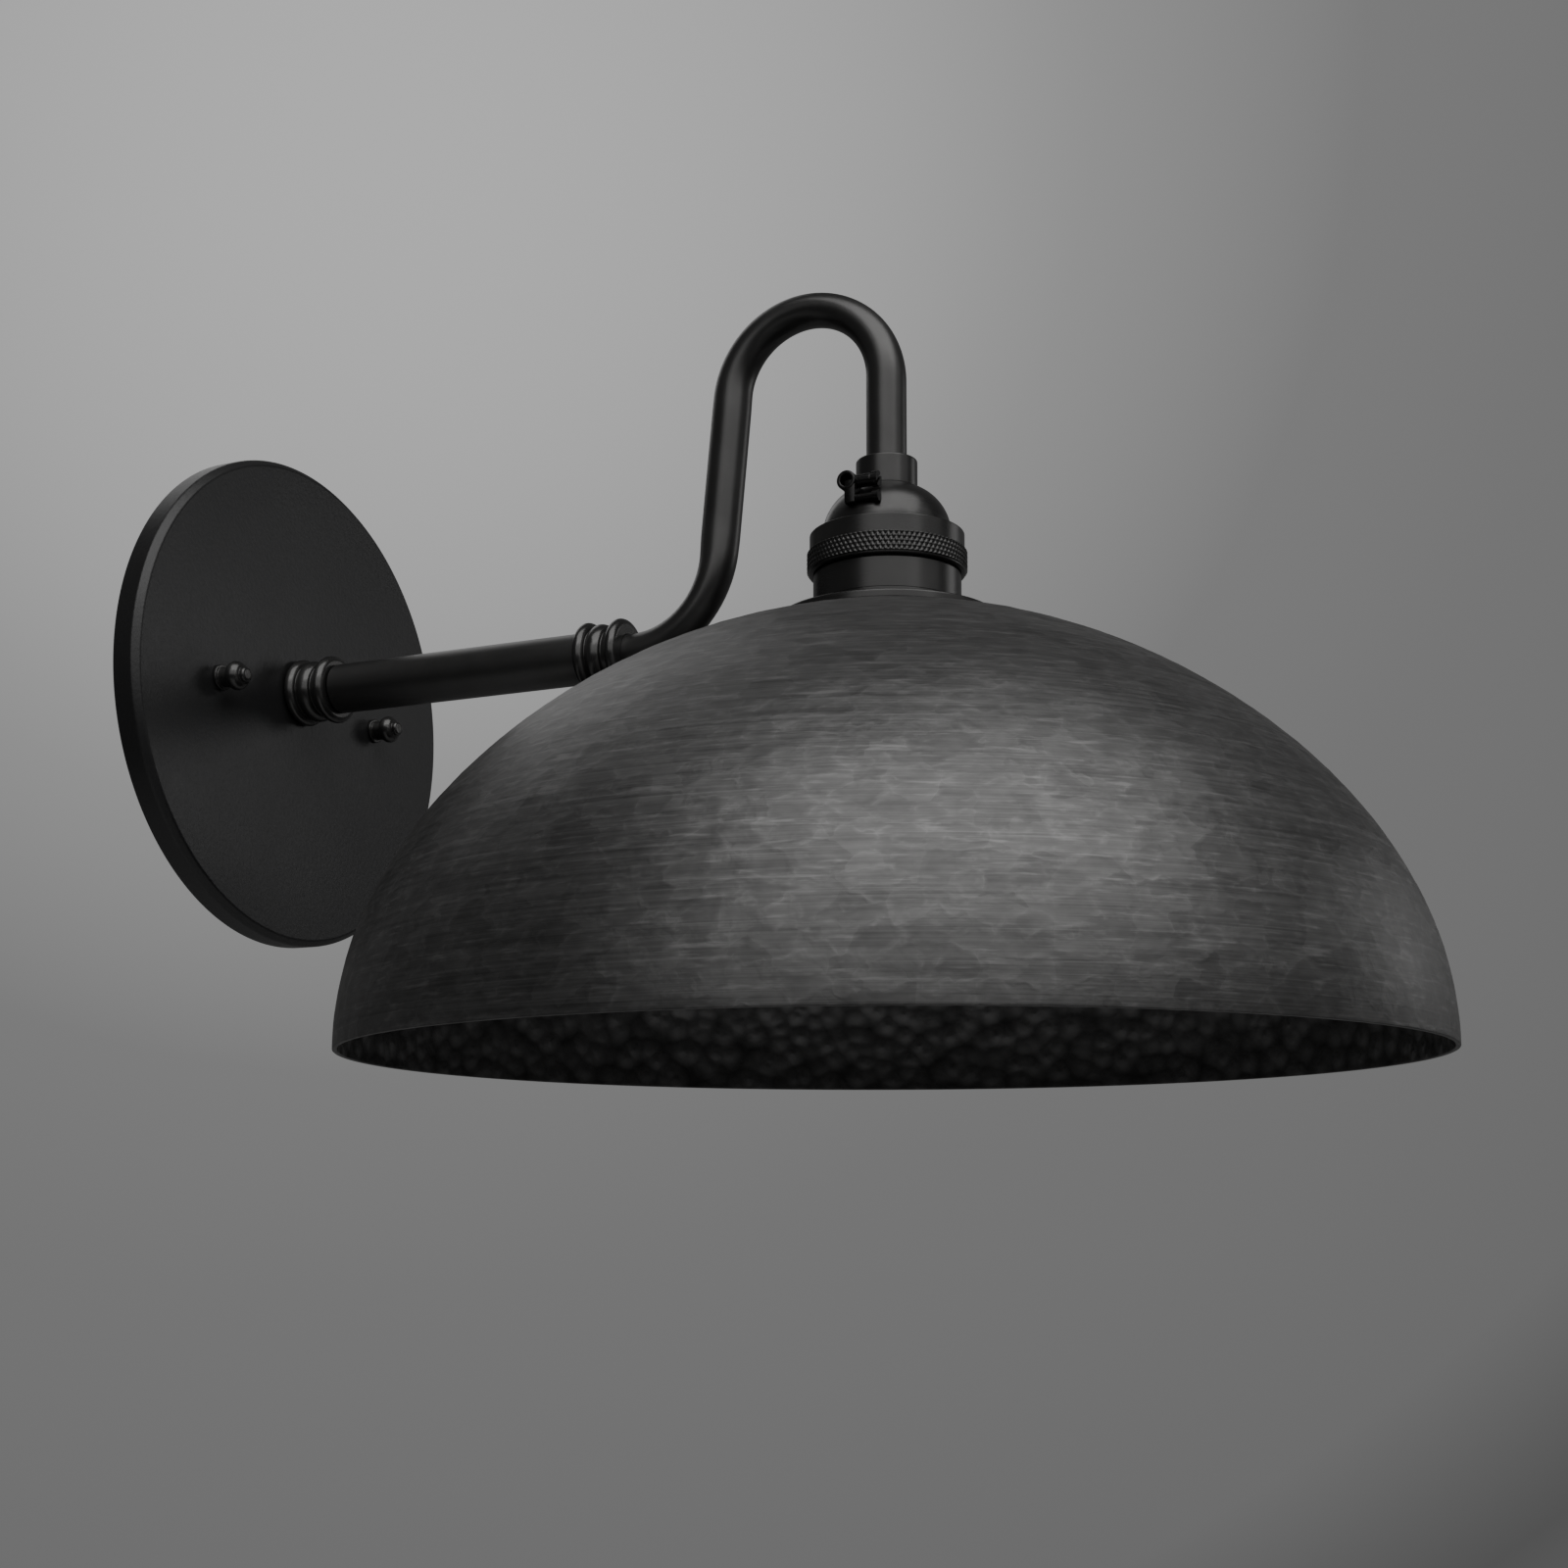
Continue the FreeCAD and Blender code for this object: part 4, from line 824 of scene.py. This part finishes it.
class SCONCE_OT_arm(bpy.types.Operator):
    """Makes the straight tube, the two turned couplings and the bent gooseneck"""

    bl_idname = "sconce.arm"
    bl_label = "Arm"

    def execute(self, context):
        sizes = context.scene.sconce_arm
        dark = context.scene.sconce_finish.gunmetal
        tube_dark = gunmetal("gunmetal, tubes", dark, "Z", 0.34)
        place = facing("Y", (0, wall_end("straight_tube"), ARM_HEIGHT))
        tube = turned_piece("arm_tube", self.tube_section(sizes), place)
        dress(tube, tube_dark, "fixture", "black_tube", "straight_tube")
        turned = gunmetal("gunmetal, couplings", dark, "Y", 0.25)
        bores = {"wall_coupling": sizes.tube_bore, "gooseneck_coupling": sizes.neck_hole}
        for node, bore in bores.items():
            place = facing("Y", (0, wall_end(node), ARM_HEIGHT))
            section = self.coupling_section(sizes, mm(bore))
            coupling = turned_piece(node + "_turned", section, place, columns=144)
            dress(coupling, turned, "fixture", "black_turned", node)
        route, flattened = self.route(sizes)
        neck = bent_tube("bent_gooseneck", route, sizes.neck_radius, sizes.neck_bore, flattened)
        dress(neck, tube_dark, "fixture", "black_tube", "gooseneck")
        return {"FINISHED"}

    @staticmethod
    def tube_section(sizes):
        (_, far, _), (_, near, _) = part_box("straight_tube")
        outside, bore, long = mm(sizes.tube_radius), mm(sizes.tube_bore), mm(near - far)
        return [(bore, 0, 0.3), (outside, 0, 0.3), (outside, long, 0.3), (bore, long, 0.3)]

    @staticmethod
    def coupling_section(sizes, bore):
        """A ring, a crowned bead, a short waist and a second ring."""
        end, waist, core = mm(sizes.coupling_length), mm(sizes.coupling_waist), 8.8
        ring = arc((core, 1.9), 1.8, -90, 90, 16)
        bead = arc((6.3, 6.3), 3.4, -44, 44, 18)
        front_ring = arc((core, end - 1.9), 1.9, -90, 90, 16)
        return [(bore, 0, 0.2), (core - 0.5, 0, 0.1), *ring, (core - 0.3, 3.8, 0), *bead,
                (waist, 8.9, 0.2), (waist, 10.9, 0.2), *front_ring, (bore, end, 0.2)]

    @staticmethod
    def route(sizes):
        """The gooseneck's centre line: lines and tangent arcs in the middle plane.

        Also gives how much of its depth the tube keeps there, for it flattens where it bends.
        """
        crown_below, end_above_land = 4.85 * MM, 39.4 * MM
        lean, lower, upper = sizes.lean, sizes.lower_bend, sizes.upper_bend
        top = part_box("gooseneck")[1][2] - crown_below
        start = np.array([[-wall_end("gooseneck"), ARM_HEIGHT]])
        end = np.array([HOLDER_OUT, LAND_HEIGHT + end_above_land])
        turn = np.linspace(0, math.pi / 2 - lean, 24)
        lower_arc = np.stack([sizes.bend_start + lower * np.sin(turn),
                              ARM_HEIGHT + lower * (1 - np.cos(turn))], 1)
        over = np.linspace(math.pi - lean, 0, 56)
        upper_arc = np.stack([HOLDER_OUT - upper + upper * np.cos(over),
                              top - upper + upper * np.sin(over)], 1)
        rise = np.linspace(0, 1, 12)[1:-1, None]
        leg = lower_arc[-1] + (upper_arc[0] - lower_arc[-1]) * rise
        drop = np.linspace(0, 1, 8)[1:, None]
        last_leg = upper_arc[-1] + (end - upper_arc[-1]) * drop
        line = np.concatenate([start, lower_arc, leg, upper_arc, last_leg])
        path = np.stack([np.zeros(len(line)), -line[:, 0], line[:, 1]], 1)
        bent = np.concatenate([[0], np.sin(2 * turn), 0 * rise[:, 0], np.sin(over),
                               0 * drop[:, 0]])
        return path, 1 - sizes.flattening * np.clip(bent, 0, 1)


class SCONCE_OT_holder(bpy.types.Operator):
    """Makes the lamp holder: cap, knurled union ring, sleeve, seat and the shade's ring"""

    bl_idname = "sconce.holder"
    bl_label = "Lamp Holder"

    def execute(self, context):
        sizes = context.scene.sconce_holder
        dark = toned(context.scene.sconce_finish.gunmetal, 0.8)
        satin = gunmetal("gunmetal, holder", dark, "Z", 0.29)
        arm = context.scene.sconce_arm
        pieces = (
            # name, section, body, node, columns and what moves the radius
            ("holder_dome", self.cap_section(sizes, arm), "fixture", "holder_cap", 160, None),
            ("knurled_union_ring", self.union_section(sizes), "union", "union_ring",
             sizes.knurl_count * 6, self.knurl(sizes)),
            ("threaded_sleeve", self.sleeve_section(sizes), "fixture", "shade_sleeve", 160,
             self.sleeve_thread(sizes)),
            ("seat_flange", self.seat_section(sizes), "fixture", "seat_ring", 160, None),
            ("notched_shade_ring", self.shade_ring_section(sizes), "shade_ring", "shade_ring",
             360, self.notches(sizes)),
        )
        for name, section, body, node, columns, wave in pieces:
            piece = turned_piece(name, section, on_holder(), columns, wave)
            dress(piece, satin, body, "black_holder", node)
        return {"FINISHED"}

    @staticmethod
    def cap_section(sizes, arm):
        """A skirt and a lip in the union ring, a dome, and a collar that takes the gooseneck."""
        skirt_bore, skirt_low = 16.7, 23.6
        lip, lip_top = 19.6, 25.0
        shoulder, shoulder_top = 18.1, 25.8
        collar, collar_low, top = mm(sizes.collar), 39.6, mm(sizes.collar_top)
        dome = arc((4.0, 25.9), mm(sizes.dome), 0, 71.2, 26)
        inside = arc((3.65, 26.0), mm(sizes.dome) - 1.4, 82, 0, 22)
        return [(skirt_bore, skirt_low, 0.1), (lip, skirt_low, 0.2), (lip, lip_top, 0.2),
                (shoulder, lip_top, 0.1), (shoulder, shoulder_top, 0), *dome,
                (collar, collar_low, 0.1), (collar, top, 0.5), (mm(arm.neck_hole), top, 0.3),
                *inside]

    @staticmethod
    def union_section(sizes):
        """A bevelled foot, the knurled band, and a plain band with a lip turned inwards."""
        outside, bore = mm(sizes.union), mm(sizes.ring_bore)
        low, top = 14.4, 26.0
        lip_bore, lip_low = 18.1, 25.1
        foot, edge, plain = outside - 1.3, outside - 0.3, outside - 0.8
        knurl_low = mm(sizes.knurl_low)
        knurl_top = knurl_low + mm(sizes.knurl_width)
        knurl = wall(outside, knurl_low + 0.05, knurl_top, 42)
        return [(bore, low, 0.1), (foot, low, 0.15), (edge - 0.25, low + 0.3, 0.3),
                (edge - 0.2, low + 0.8, 0.1), (edge, knurl_low - 0.05, 0), *knurl,
                (edge, knurl_top + 0.15, 0), (plain, knurl_top + 0.25, 0.1), (plain, top, 0.3),
                (lip_bore, top, 0.2), (lip_bore, lip_low, 0.1), (bore, lip_low, 0.1)]

    @staticmethod
    def sleeve_section(sizes):
        """A thread below, a plain band above it, and a thread for the union ring."""
        thread, band = mm(sizes.sleeve), mm(sizes.sleeve_band)
        bore, lip_bore, lip = 18.9, 17.2, 1.0
        low, band_low, band_top, top = -15, 5.4, 14.1, 23.5
        return [(lip_bore, low, 0.15), (thread - 0.1, low, 0.2),
                *wall(thread, low + 0.2, -0.4, 60), (thread, band_low, 0),
                (band, band_low, 0.15), (band, band_top, 0.25), (thread, band_top, 0),
                (thread, top, 0.2), (bore, top, 0.2), (bore, low + lip, 0.2),
                (lip_bore, low + lip, 0.2)]

    @staticmethod
    def seat_section(sizes):
        """A flared flange that dips over the shade's crown, and a neck up to the sleeve's band."""
        bore, neck, flange = mm(sizes.ring_bore), mm(sizes.sleeve_band), mm(sizes.flange)
        low, top = 0.1, 5.38
        return [(bore, low, 0.1), (26.0, low, 0), (flange - 0.2, -0.9, 0.15),
                (flange, -0.4, 0.2), (flange, 1.7, 0.5), (23.5, 3.0, 1.5), (neck, 4.0, 0.3),
                (neck, top, 0.02), (bore, top, 0.1)]

    @staticmethod
    def shade_ring_section(sizes):
        bore, outside, low, top = mm(sizes.ring_bore), mm(sizes.shade_ring), -7.4, -1.4
        return [(bore, low, 0.3), (outside, low, 0.6), (outside, top, 0.6), (bore, top, 0.3)]

    @staticmethod
    def knurl(sizes):
        """Two sets of slanted grooves: the radius falls by the depth times the greater of
        g(n a + v)^2 and g(n a - v)^2.

        Here g(x) is 1 at whole numbers and falls evenly to 0 half way between them, n a counts
        diamonds round the ring and v counts them up it.
        """
        def wave(turn, height, radius):
            around = sizes.knurl_count * turn / TURN
            up = sizes.knurl_rows * (height - sizes.knurl_low) / sizes.knurl_width
            one = np.abs(2 * ((around + up) % 1) - 1)
            two = np.abs(2 * ((around - up) % 1) - 1)
            groove = np.maximum(one, two) ** 2
            return -sizes.knurl_depth * groove * (radius > sizes.union - 0.1 * MM)
        return wave

    @staticmethod
    def sleeve_thread(sizes):
        """A V thread: the radius falls by the depth times g(height / pitch - angle)."""
        def wave(turn, height, radius):
            lead = np.abs(2 * ((height / sizes.sleeve_pitch - turn / TURN) % 1) - 1)
            outside = radius > sizes.sleeve - 0.05 * MM
            return -sizes.sleeve_depth * lead * (outside & (height < 0))
        return wave

    @staticmethod
    def notches(sizes):
        """Round notches: r = c cos f - sqrt(n^2 - c^2 sin^2 f) where a notch cuts the edge."""
        centre, notch, apart = sizes.shade_ring + 1.2 * MM, 2.4 * MM, TURN / sizes.notch_count

        def wave(turn, height, radius):
            off = (turn + apart / 2) % apart - apart / 2
            room = notch**2 - (centre * np.sin(off)) ** 2
            edge = centre * np.cos(off) - np.sqrt(np.maximum(room, 0))
            cut = np.where(room > 0, np.minimum(edge - radius, 0), 0)
            return cut * (radius > centre - 2 * notch)
        return wave


class SCONCE_OT_socket(bpy.types.Operator):
    """Makes the rolled lamp shell and paints the small fittings kept from the construction"""

    bl_idname = "sconce.socket"
    bl_label = "Socket and Small Fittings"

    def execute(self, context):
        sizes = context.scene.sconce_holder
        finish = context.scene.sconce_finish
        shell = turned_piece("rolled_screw_shell", self.shell_section(sizes), on_holder(),
                             columns=120, wave=self.lamp_thread(sizes))
        brass = plated("brass", finish.brass, 0.3)
        dress(shell, brass, "fixture", "brass", "screw_shell")
        zinc = plated("zinc plate", finish.zinc, 0.36)
        small = gunmetal("gunmetal, earth terminal", toned(finish.gunmetal, 0.4), "Y", 0.22)
        self.earth_terminal(small)
        self.paint(small, "earth_clamp_screw", "earth_lug_pin")
        self.paint(brass, "centre_contact", "line_terminal", "shell_terminal",
                   "line_terminal_screw")
        self.paint(zinc, "wall_bracket", "canopy_stud_left", "canopy_stud_right",
                   "stud_lock_nut_left", "stud_lock_nut_right", "arm_nipple", "arm_washer",
                   "arm_lock_nut", "coupling_nipple", "shell_terminal_screw")
        self.paint(glazed("porcelain glaze", finish.glaze), "porcelain_core")
        self.paint(plated("green zinc", finish.green, 0.4, 0.2), "bracket_earth_screw")
        return {"FINISHED"}

    @staticmethod
    def shell_section(sizes):
        """A thin wall, open below, with a base that has a hole for the contact."""
        inside = mm(sizes.lamp_radius)
        outside = inside + mm(sizes.lamp_sheet)
        low, top, base_low, base_hole = -13.6, 5.4, 5.0, 9.0
        rolled_low, rolled_top, steps = low + 0.4, 4.6, 90
        return [*wall(inside, rolled_top, rolled_low, steps), (inside, low, 0.1),
                (outside, low, 0.1), *wall(outside, rolled_low, rolled_top, steps),
                (outside, top, 0.3), (base_hole, top, 0.1), (base_hole, base_low, 0.1),
                (inside, base_low, 0.3)]

    @staticmethod
    def lamp_thread(sizes):
        """A rolled thread: both walls fall by d (1 - cos(2 pi h / pitch - angle)) / 2.

        It fades out near the shell's mouth and near its base.
        """
        low, top, fading = -13.4 * MM, 4.9 * MM, 2 * MM

        def wave(turn, height, radius):
            fade = np.clip(np.minimum(height - low, top - height) / fading, 0, 1)
            lead = TURN * height / sizes.lamp_pitch - turn
            rolled = fade * (1 - np.cos(lead)) / 2
            return -sizes.lamp_depth * rolled * (radius > sizes.lamp_radius - 0.25 * MM)
        return wave

    @staticmethod
    def earth_terminal(material):
        """The terminal on the cap: a barrel with a wire hole, a foot and a screw boss."""
        low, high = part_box("earth_lug")
        inset = 2.6 * MM
        left, middle_y, middle_z = low[0], high[1] - inset, high[2] - inset
        radius, wire_hole, long, hole_end = 2.8, 1.7, 5.6, 4.8
        barrel = turned_piece(
            "terminal_barrel",
            [(0, hole_end, 0), (wire_hole, hole_end, 0.1), (wire_hole, 0, 0.35), (radius, 0, 0.5),
             (radius, long, 0.4), (0, long, 0)],
            facing("X", (left, middle_y, middle_z)), columns=64, solid=True,
        )
        outside, screw_hole, start, end, screw_seat = 1.85, 1.2, 1.0, 7.0, 5.5
        boss = turned_piece(
            "terminal_boss",
            [(0, start, 0), (outside, start, 0), (outside, end, 0.4), (screw_hole, end, 0.1),
             (screw_hole, screw_seat, 0), (0, screw_seat, 0)],
            facing("Y", (left + long / 2 * MM, middle_y, middle_z)), columns=48, solid=True,
        )
        margin, reach_y, reach_down = 0.2 * MM, 0.6 * MM, 6.7 * MM
        foot = soft_block(
            "terminal_foot", (left + margin, middle_y - inset, middle_z - reach_down),
            (left + long * MM - margin, middle_y + reach_y, middle_z), edge=0.45 * MM,
        )
        for piece in (barrel, boss, foot):
            dress(piece, material, "fixture", "black_turned", "earth_lug")

    @staticmethod
    def paint(material, *nodes):
        """Gives construction nodes their finish."""
        for node in nodes:
            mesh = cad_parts[node].data
            mesh.materials.clear()
            mesh.materials.append(material)


class SCONCE_OT_shade(bpy.types.Operator):
    """Makes the hammered dome shade, outside, rim and inside as one closed shell"""

    bl_idname = "sconce.shade"
    bl_label = "Hammered Shade"

    def execute(self, context):
        sizes = context.scene.sconce_shade
        steel = context.scene.sconce_finish.steel
        turn = np.linspace(0, TURN, sizes.around, endpoint=False)[None, :]
        rim_start = -sizes.height + 0.8 * MM
        outer = dome_curve((sizes.land, 0), (sizes.radius, rim_start), sizes, sizes.outer_rows)
        inner = dome_curve((sizes.land, -sizes.sheet), (sizes.radius - sizes.sheet, rim_start),
                           sizes, sizes.inner_rows)[::-1]
        rim = self.rim_section(sizes)
        hole = np.array([[sizes.hole, -sizes.sheet], [sizes.hole, 0]])
        outer_grid = self.marked(outer, turn, sizes.outer_blow, sizes.outer_depth, -1, seed=3)
        inner_grid = self.marked(inner, turn, sizes.inner_blow, sizes.inner_depth, 1, seed=8)
        grid = np.concatenate([outer_grid, spin_points(rim, sizes.around), inner_grid,
                               spin_points(hole, sizes.around)])
        piece = new_piece("shade_dome", moved(grid, on_holder()))
        dress(piece, hammered_steel("hammered steel", steel), "shade", "black_shade", "shade")
        piece.data.materials.append(lumpy_steel("hammered inside", steel))
        first_row, rows = len(outer_grid) + len(rim) - 2, len(inner_grid) + 2
        self.mark_inside(piece, first_row, rows, sizes.around)
        self.mark_down(piece, grid, sizes.around)
        return {"FINISHED"}

    @staticmethod
    def rim_section(sizes):
        """The rim's flat edge with two small round corners."""
        outside, low = sizes.radius / MM, -sizes.height / MM
        within = outside - sizes.sheet / MM
        start, rounding = low + 0.8, 0.28
        corners = [(outside, start, 0), (outside, low, rounding), (within, low, rounding),
                   (within, start, 0)]
        curve = rounded(corners, 6)
        return curve[curve[:, 1] < (start - 0.1) * MM]

    @staticmethod
    def marked(section, turn, blow, depth, sign, seed):
        """Turns a section and moves it along its normal by the hammer marks.

        A mark is depth (1 - (d / reach)^2) deep, where d is how far away its blow is, and the
        marks fade out near both ends of the section.
        """
        reach, plain_start, plain_end, fading = 0.85, 4 * MM, 1 * MM, 12 * MM
        down = way_along(section)[:, None]
        near = hammer_marks(down, turn, section[:, :1], blow, seed)
        from_ends = np.minimum(down - plain_start, down[-1] - down - plain_end)
        fade = np.clip(from_ends / fading, 0, 1)
        dish = np.clip(1 - (near / reach) ** 2, 0, 1) * depth * fade
        normal = outward(section, sign)
        across = section[:, :1] + normal[:, :1] * dish
        up = section[:, 1:2] + normal[:, 1:2] * dish
        return np.stack([across * np.cos(turn), across * np.sin(turn), up], -1)

    @staticmethod
    def mark_inside(piece, first_row, rows, columns):
        """Gives the inner rows' faces the second material."""
        index = np.zeros(len(piece.data.polygons), np.int32)
        index[first_row * columns:(first_row + rows) * columns] = 1
        piece.data.polygons.foreach_set("material_index", index)

    @staticmethod
    def mark_down(piece, grid, columns):
        """Stores each row's way down the section, for the brushing."""
        section = np.stack([np.hypot(grid[:, 0, 0], grid[:, 0, 1]), grid[:, 0, 2]], 1)
        down = np.repeat(way_along(section), columns)
        layer = piece.data.attributes.new("down", "FLOAT", "POINT")
        layer.data.foreach_set("value", down.astype(np.float32))


class SCONCE_OT_stage(bpy.types.Operator):
    """Sets the floor, the soft light and the camera"""

    bl_idname = "sconce.stage"
    bl_label = "Stage"

    def execute(self, context):
        sizes = context.scene.sconce_stage
        self.lay_floor(sizes)
        self.light_room(context)
        for light in STUDIO_LIGHTS:
            self.soft_box(context, *light)
        self.aim_camera(context, sizes)
        return {"FINISHED"}

    @staticmethod
    def lay_floor(sizes):
        rings = 12
        radius = np.linspace(0, sizes.floor_reach, rings)
        section = np.stack([radius, np.full(rings, -sizes.floor_drop)], 1)
        floor = new_piece("floor", spin_points(section, 96), close_rows=False, open_sheet=True)
        grey = floor_grey("pale floor", sizes.floor_grey, sizes.floor_reach)
        floor.data.materials.append(grey)

    @staticmethod
    def light_room(context):
        """The room: its light is w1 max(d, 0)^2 + w2 max(-d, 0)^2 summed over the three axes.

        Here d is the direction. Seen directly, it is a plain grey, paler at the upper left.
        """
        world = bpy.data.worlds.new("studio")
        context.scene.world = world
        room = Paint(world)
        way = room.node("ShaderNodeTexCoord")
        nothing, all_axes, back = (0.0, 0.0, 0.0), (1.0, 1.0, 1.0), (-1.0, -1.0, -1.0)
        ahead = way.maths("MAXIMUM", nothing)
        behind = (way * back).maths("MAXIMUM", nothing)
        glow = ahead * ahead * ROOM_AHEAD + behind * behind * ROOM_BEHIND
        toward = way.maths("DOT_PRODUCT", WALL_GLOW_WAY, output=1)
        wall_grey = room.ramp(toward * 0.5 + 0.5, *WALL_GLOW)
        strength = glow.maths("DOT_PRODUCT", all_axes, output=1)
        lit = room.node("ShaderNodeBackground", None, Strength=strength)
        seen = room.node("ShaderNodeBackground", None, wall_grey)
        seen_directly = room.node("ShaderNodeLightPath")
        mix = room.node("ShaderNodeMixShader", None, seen_directly, lit, seen)
        room.node("ShaderNodeOutputWorld", None, Surface=mix)

    @staticmethod
    def soft_box(context, name, azimuth, elevation, distance, size, watts):
        """An area light that looks at the shade from an azimuth and an elevation."""
        a, e = math.radians(azimuth), math.radians(elevation)
        way = Vector((math.cos(a) * math.cos(e), math.sin(a) * math.cos(e), math.sin(e)))
        data = bpy.data.lights.new(name, "AREA")
        data.shape = "RECTANGLE"
        data.size, data.size_y = size
        data.energy = watts
        lamp = bpy.data.objects.new(name, data)
        lamp.location = Vector((0, -HOLDER_OUT, 0)) + way * distance
        lamp.rotation_euler = way.to_track_quat("Z", "Y").to_euler()
        context.collection.objects.link(lamp)

    @staticmethod
    def aim_camera(context, sizes):
        data = bpy.data.cameras.new("camera")
        data.sensor_width = 36
        data.lens = sizes.lens
        data.shift_y = CAMERA_SHIFT
        camera = bpy.data.objects.new("camera", data)
        camera.location = Vector(CAMERA_PLACE) * MM
        yaw, pitch = CAMERA_AIM
        camera.rotation_euler = (math.pi / 2 + pitch, 0, -yaw)
        context.collection.objects.link(camera)
        context.scene.camera = camera


class SCONCE_PT_panel(bpy.types.Panel):
    """Lists the sconce's pieces in the sidebar"""

    bl_idname = "SCONCE_PT_panel"
    bl_label = "Dome Sconce"
    bl_space_type = "VIEW_3D"
    bl_region_type = "UI"
    bl_category = "Sconce"

    def draw(self, context):
        for name in GROUPS:
            sizes = getattr(context.scene, name)
            box = self.layout.box()
            for size in sizes.__annotations__:
                box.prop(sizes, size)
        for operator in OPERATORS:
            self.layout.operator(operator.bl_idname)


GROUPS = {
    "sconce_plate": PlateSizes,
    "sconce_arm": ArmSizes,
    "sconce_shade": ShadeSizes,
    "sconce_holder": HolderSizes,
    "sconce_finish": FinishColours,
    "sconce_stage": StageSizes,
}
OPERATORS = [SCONCE_OT_wall_plate, SCONCE_OT_arm, SCONCE_OT_holder, SCONCE_OT_socket,
             SCONCE_OT_shade, SCONCE_OT_stage]
CLASSES = [*GROUPS.values(), *OPERATORS, SCONCE_PT_panel]


def register():
    for cls in CLASSES:
        bpy.utils.register_class(cls)
    for name, group in GROUPS.items():
        setattr(bpy.types.Scene, name, bpy.props.PointerProperty(type=group))


def unregister():
    for name in GROUPS:
        delattr(bpy.types.Scene, name)
    for cls in reversed(CLASSES):
        bpy.utils.unregister_class(cls)


def main():
    register()
    bpy.ops.sconce.wall_plate()
    bpy.ops.sconce.arm()
    bpy.ops.sconce.holder()
    bpy.ops.sconce.socket()
    bpy.ops.sconce.shade()
    bpy.ops.sconce.stage()


if __name__ == "__main__":
    main()
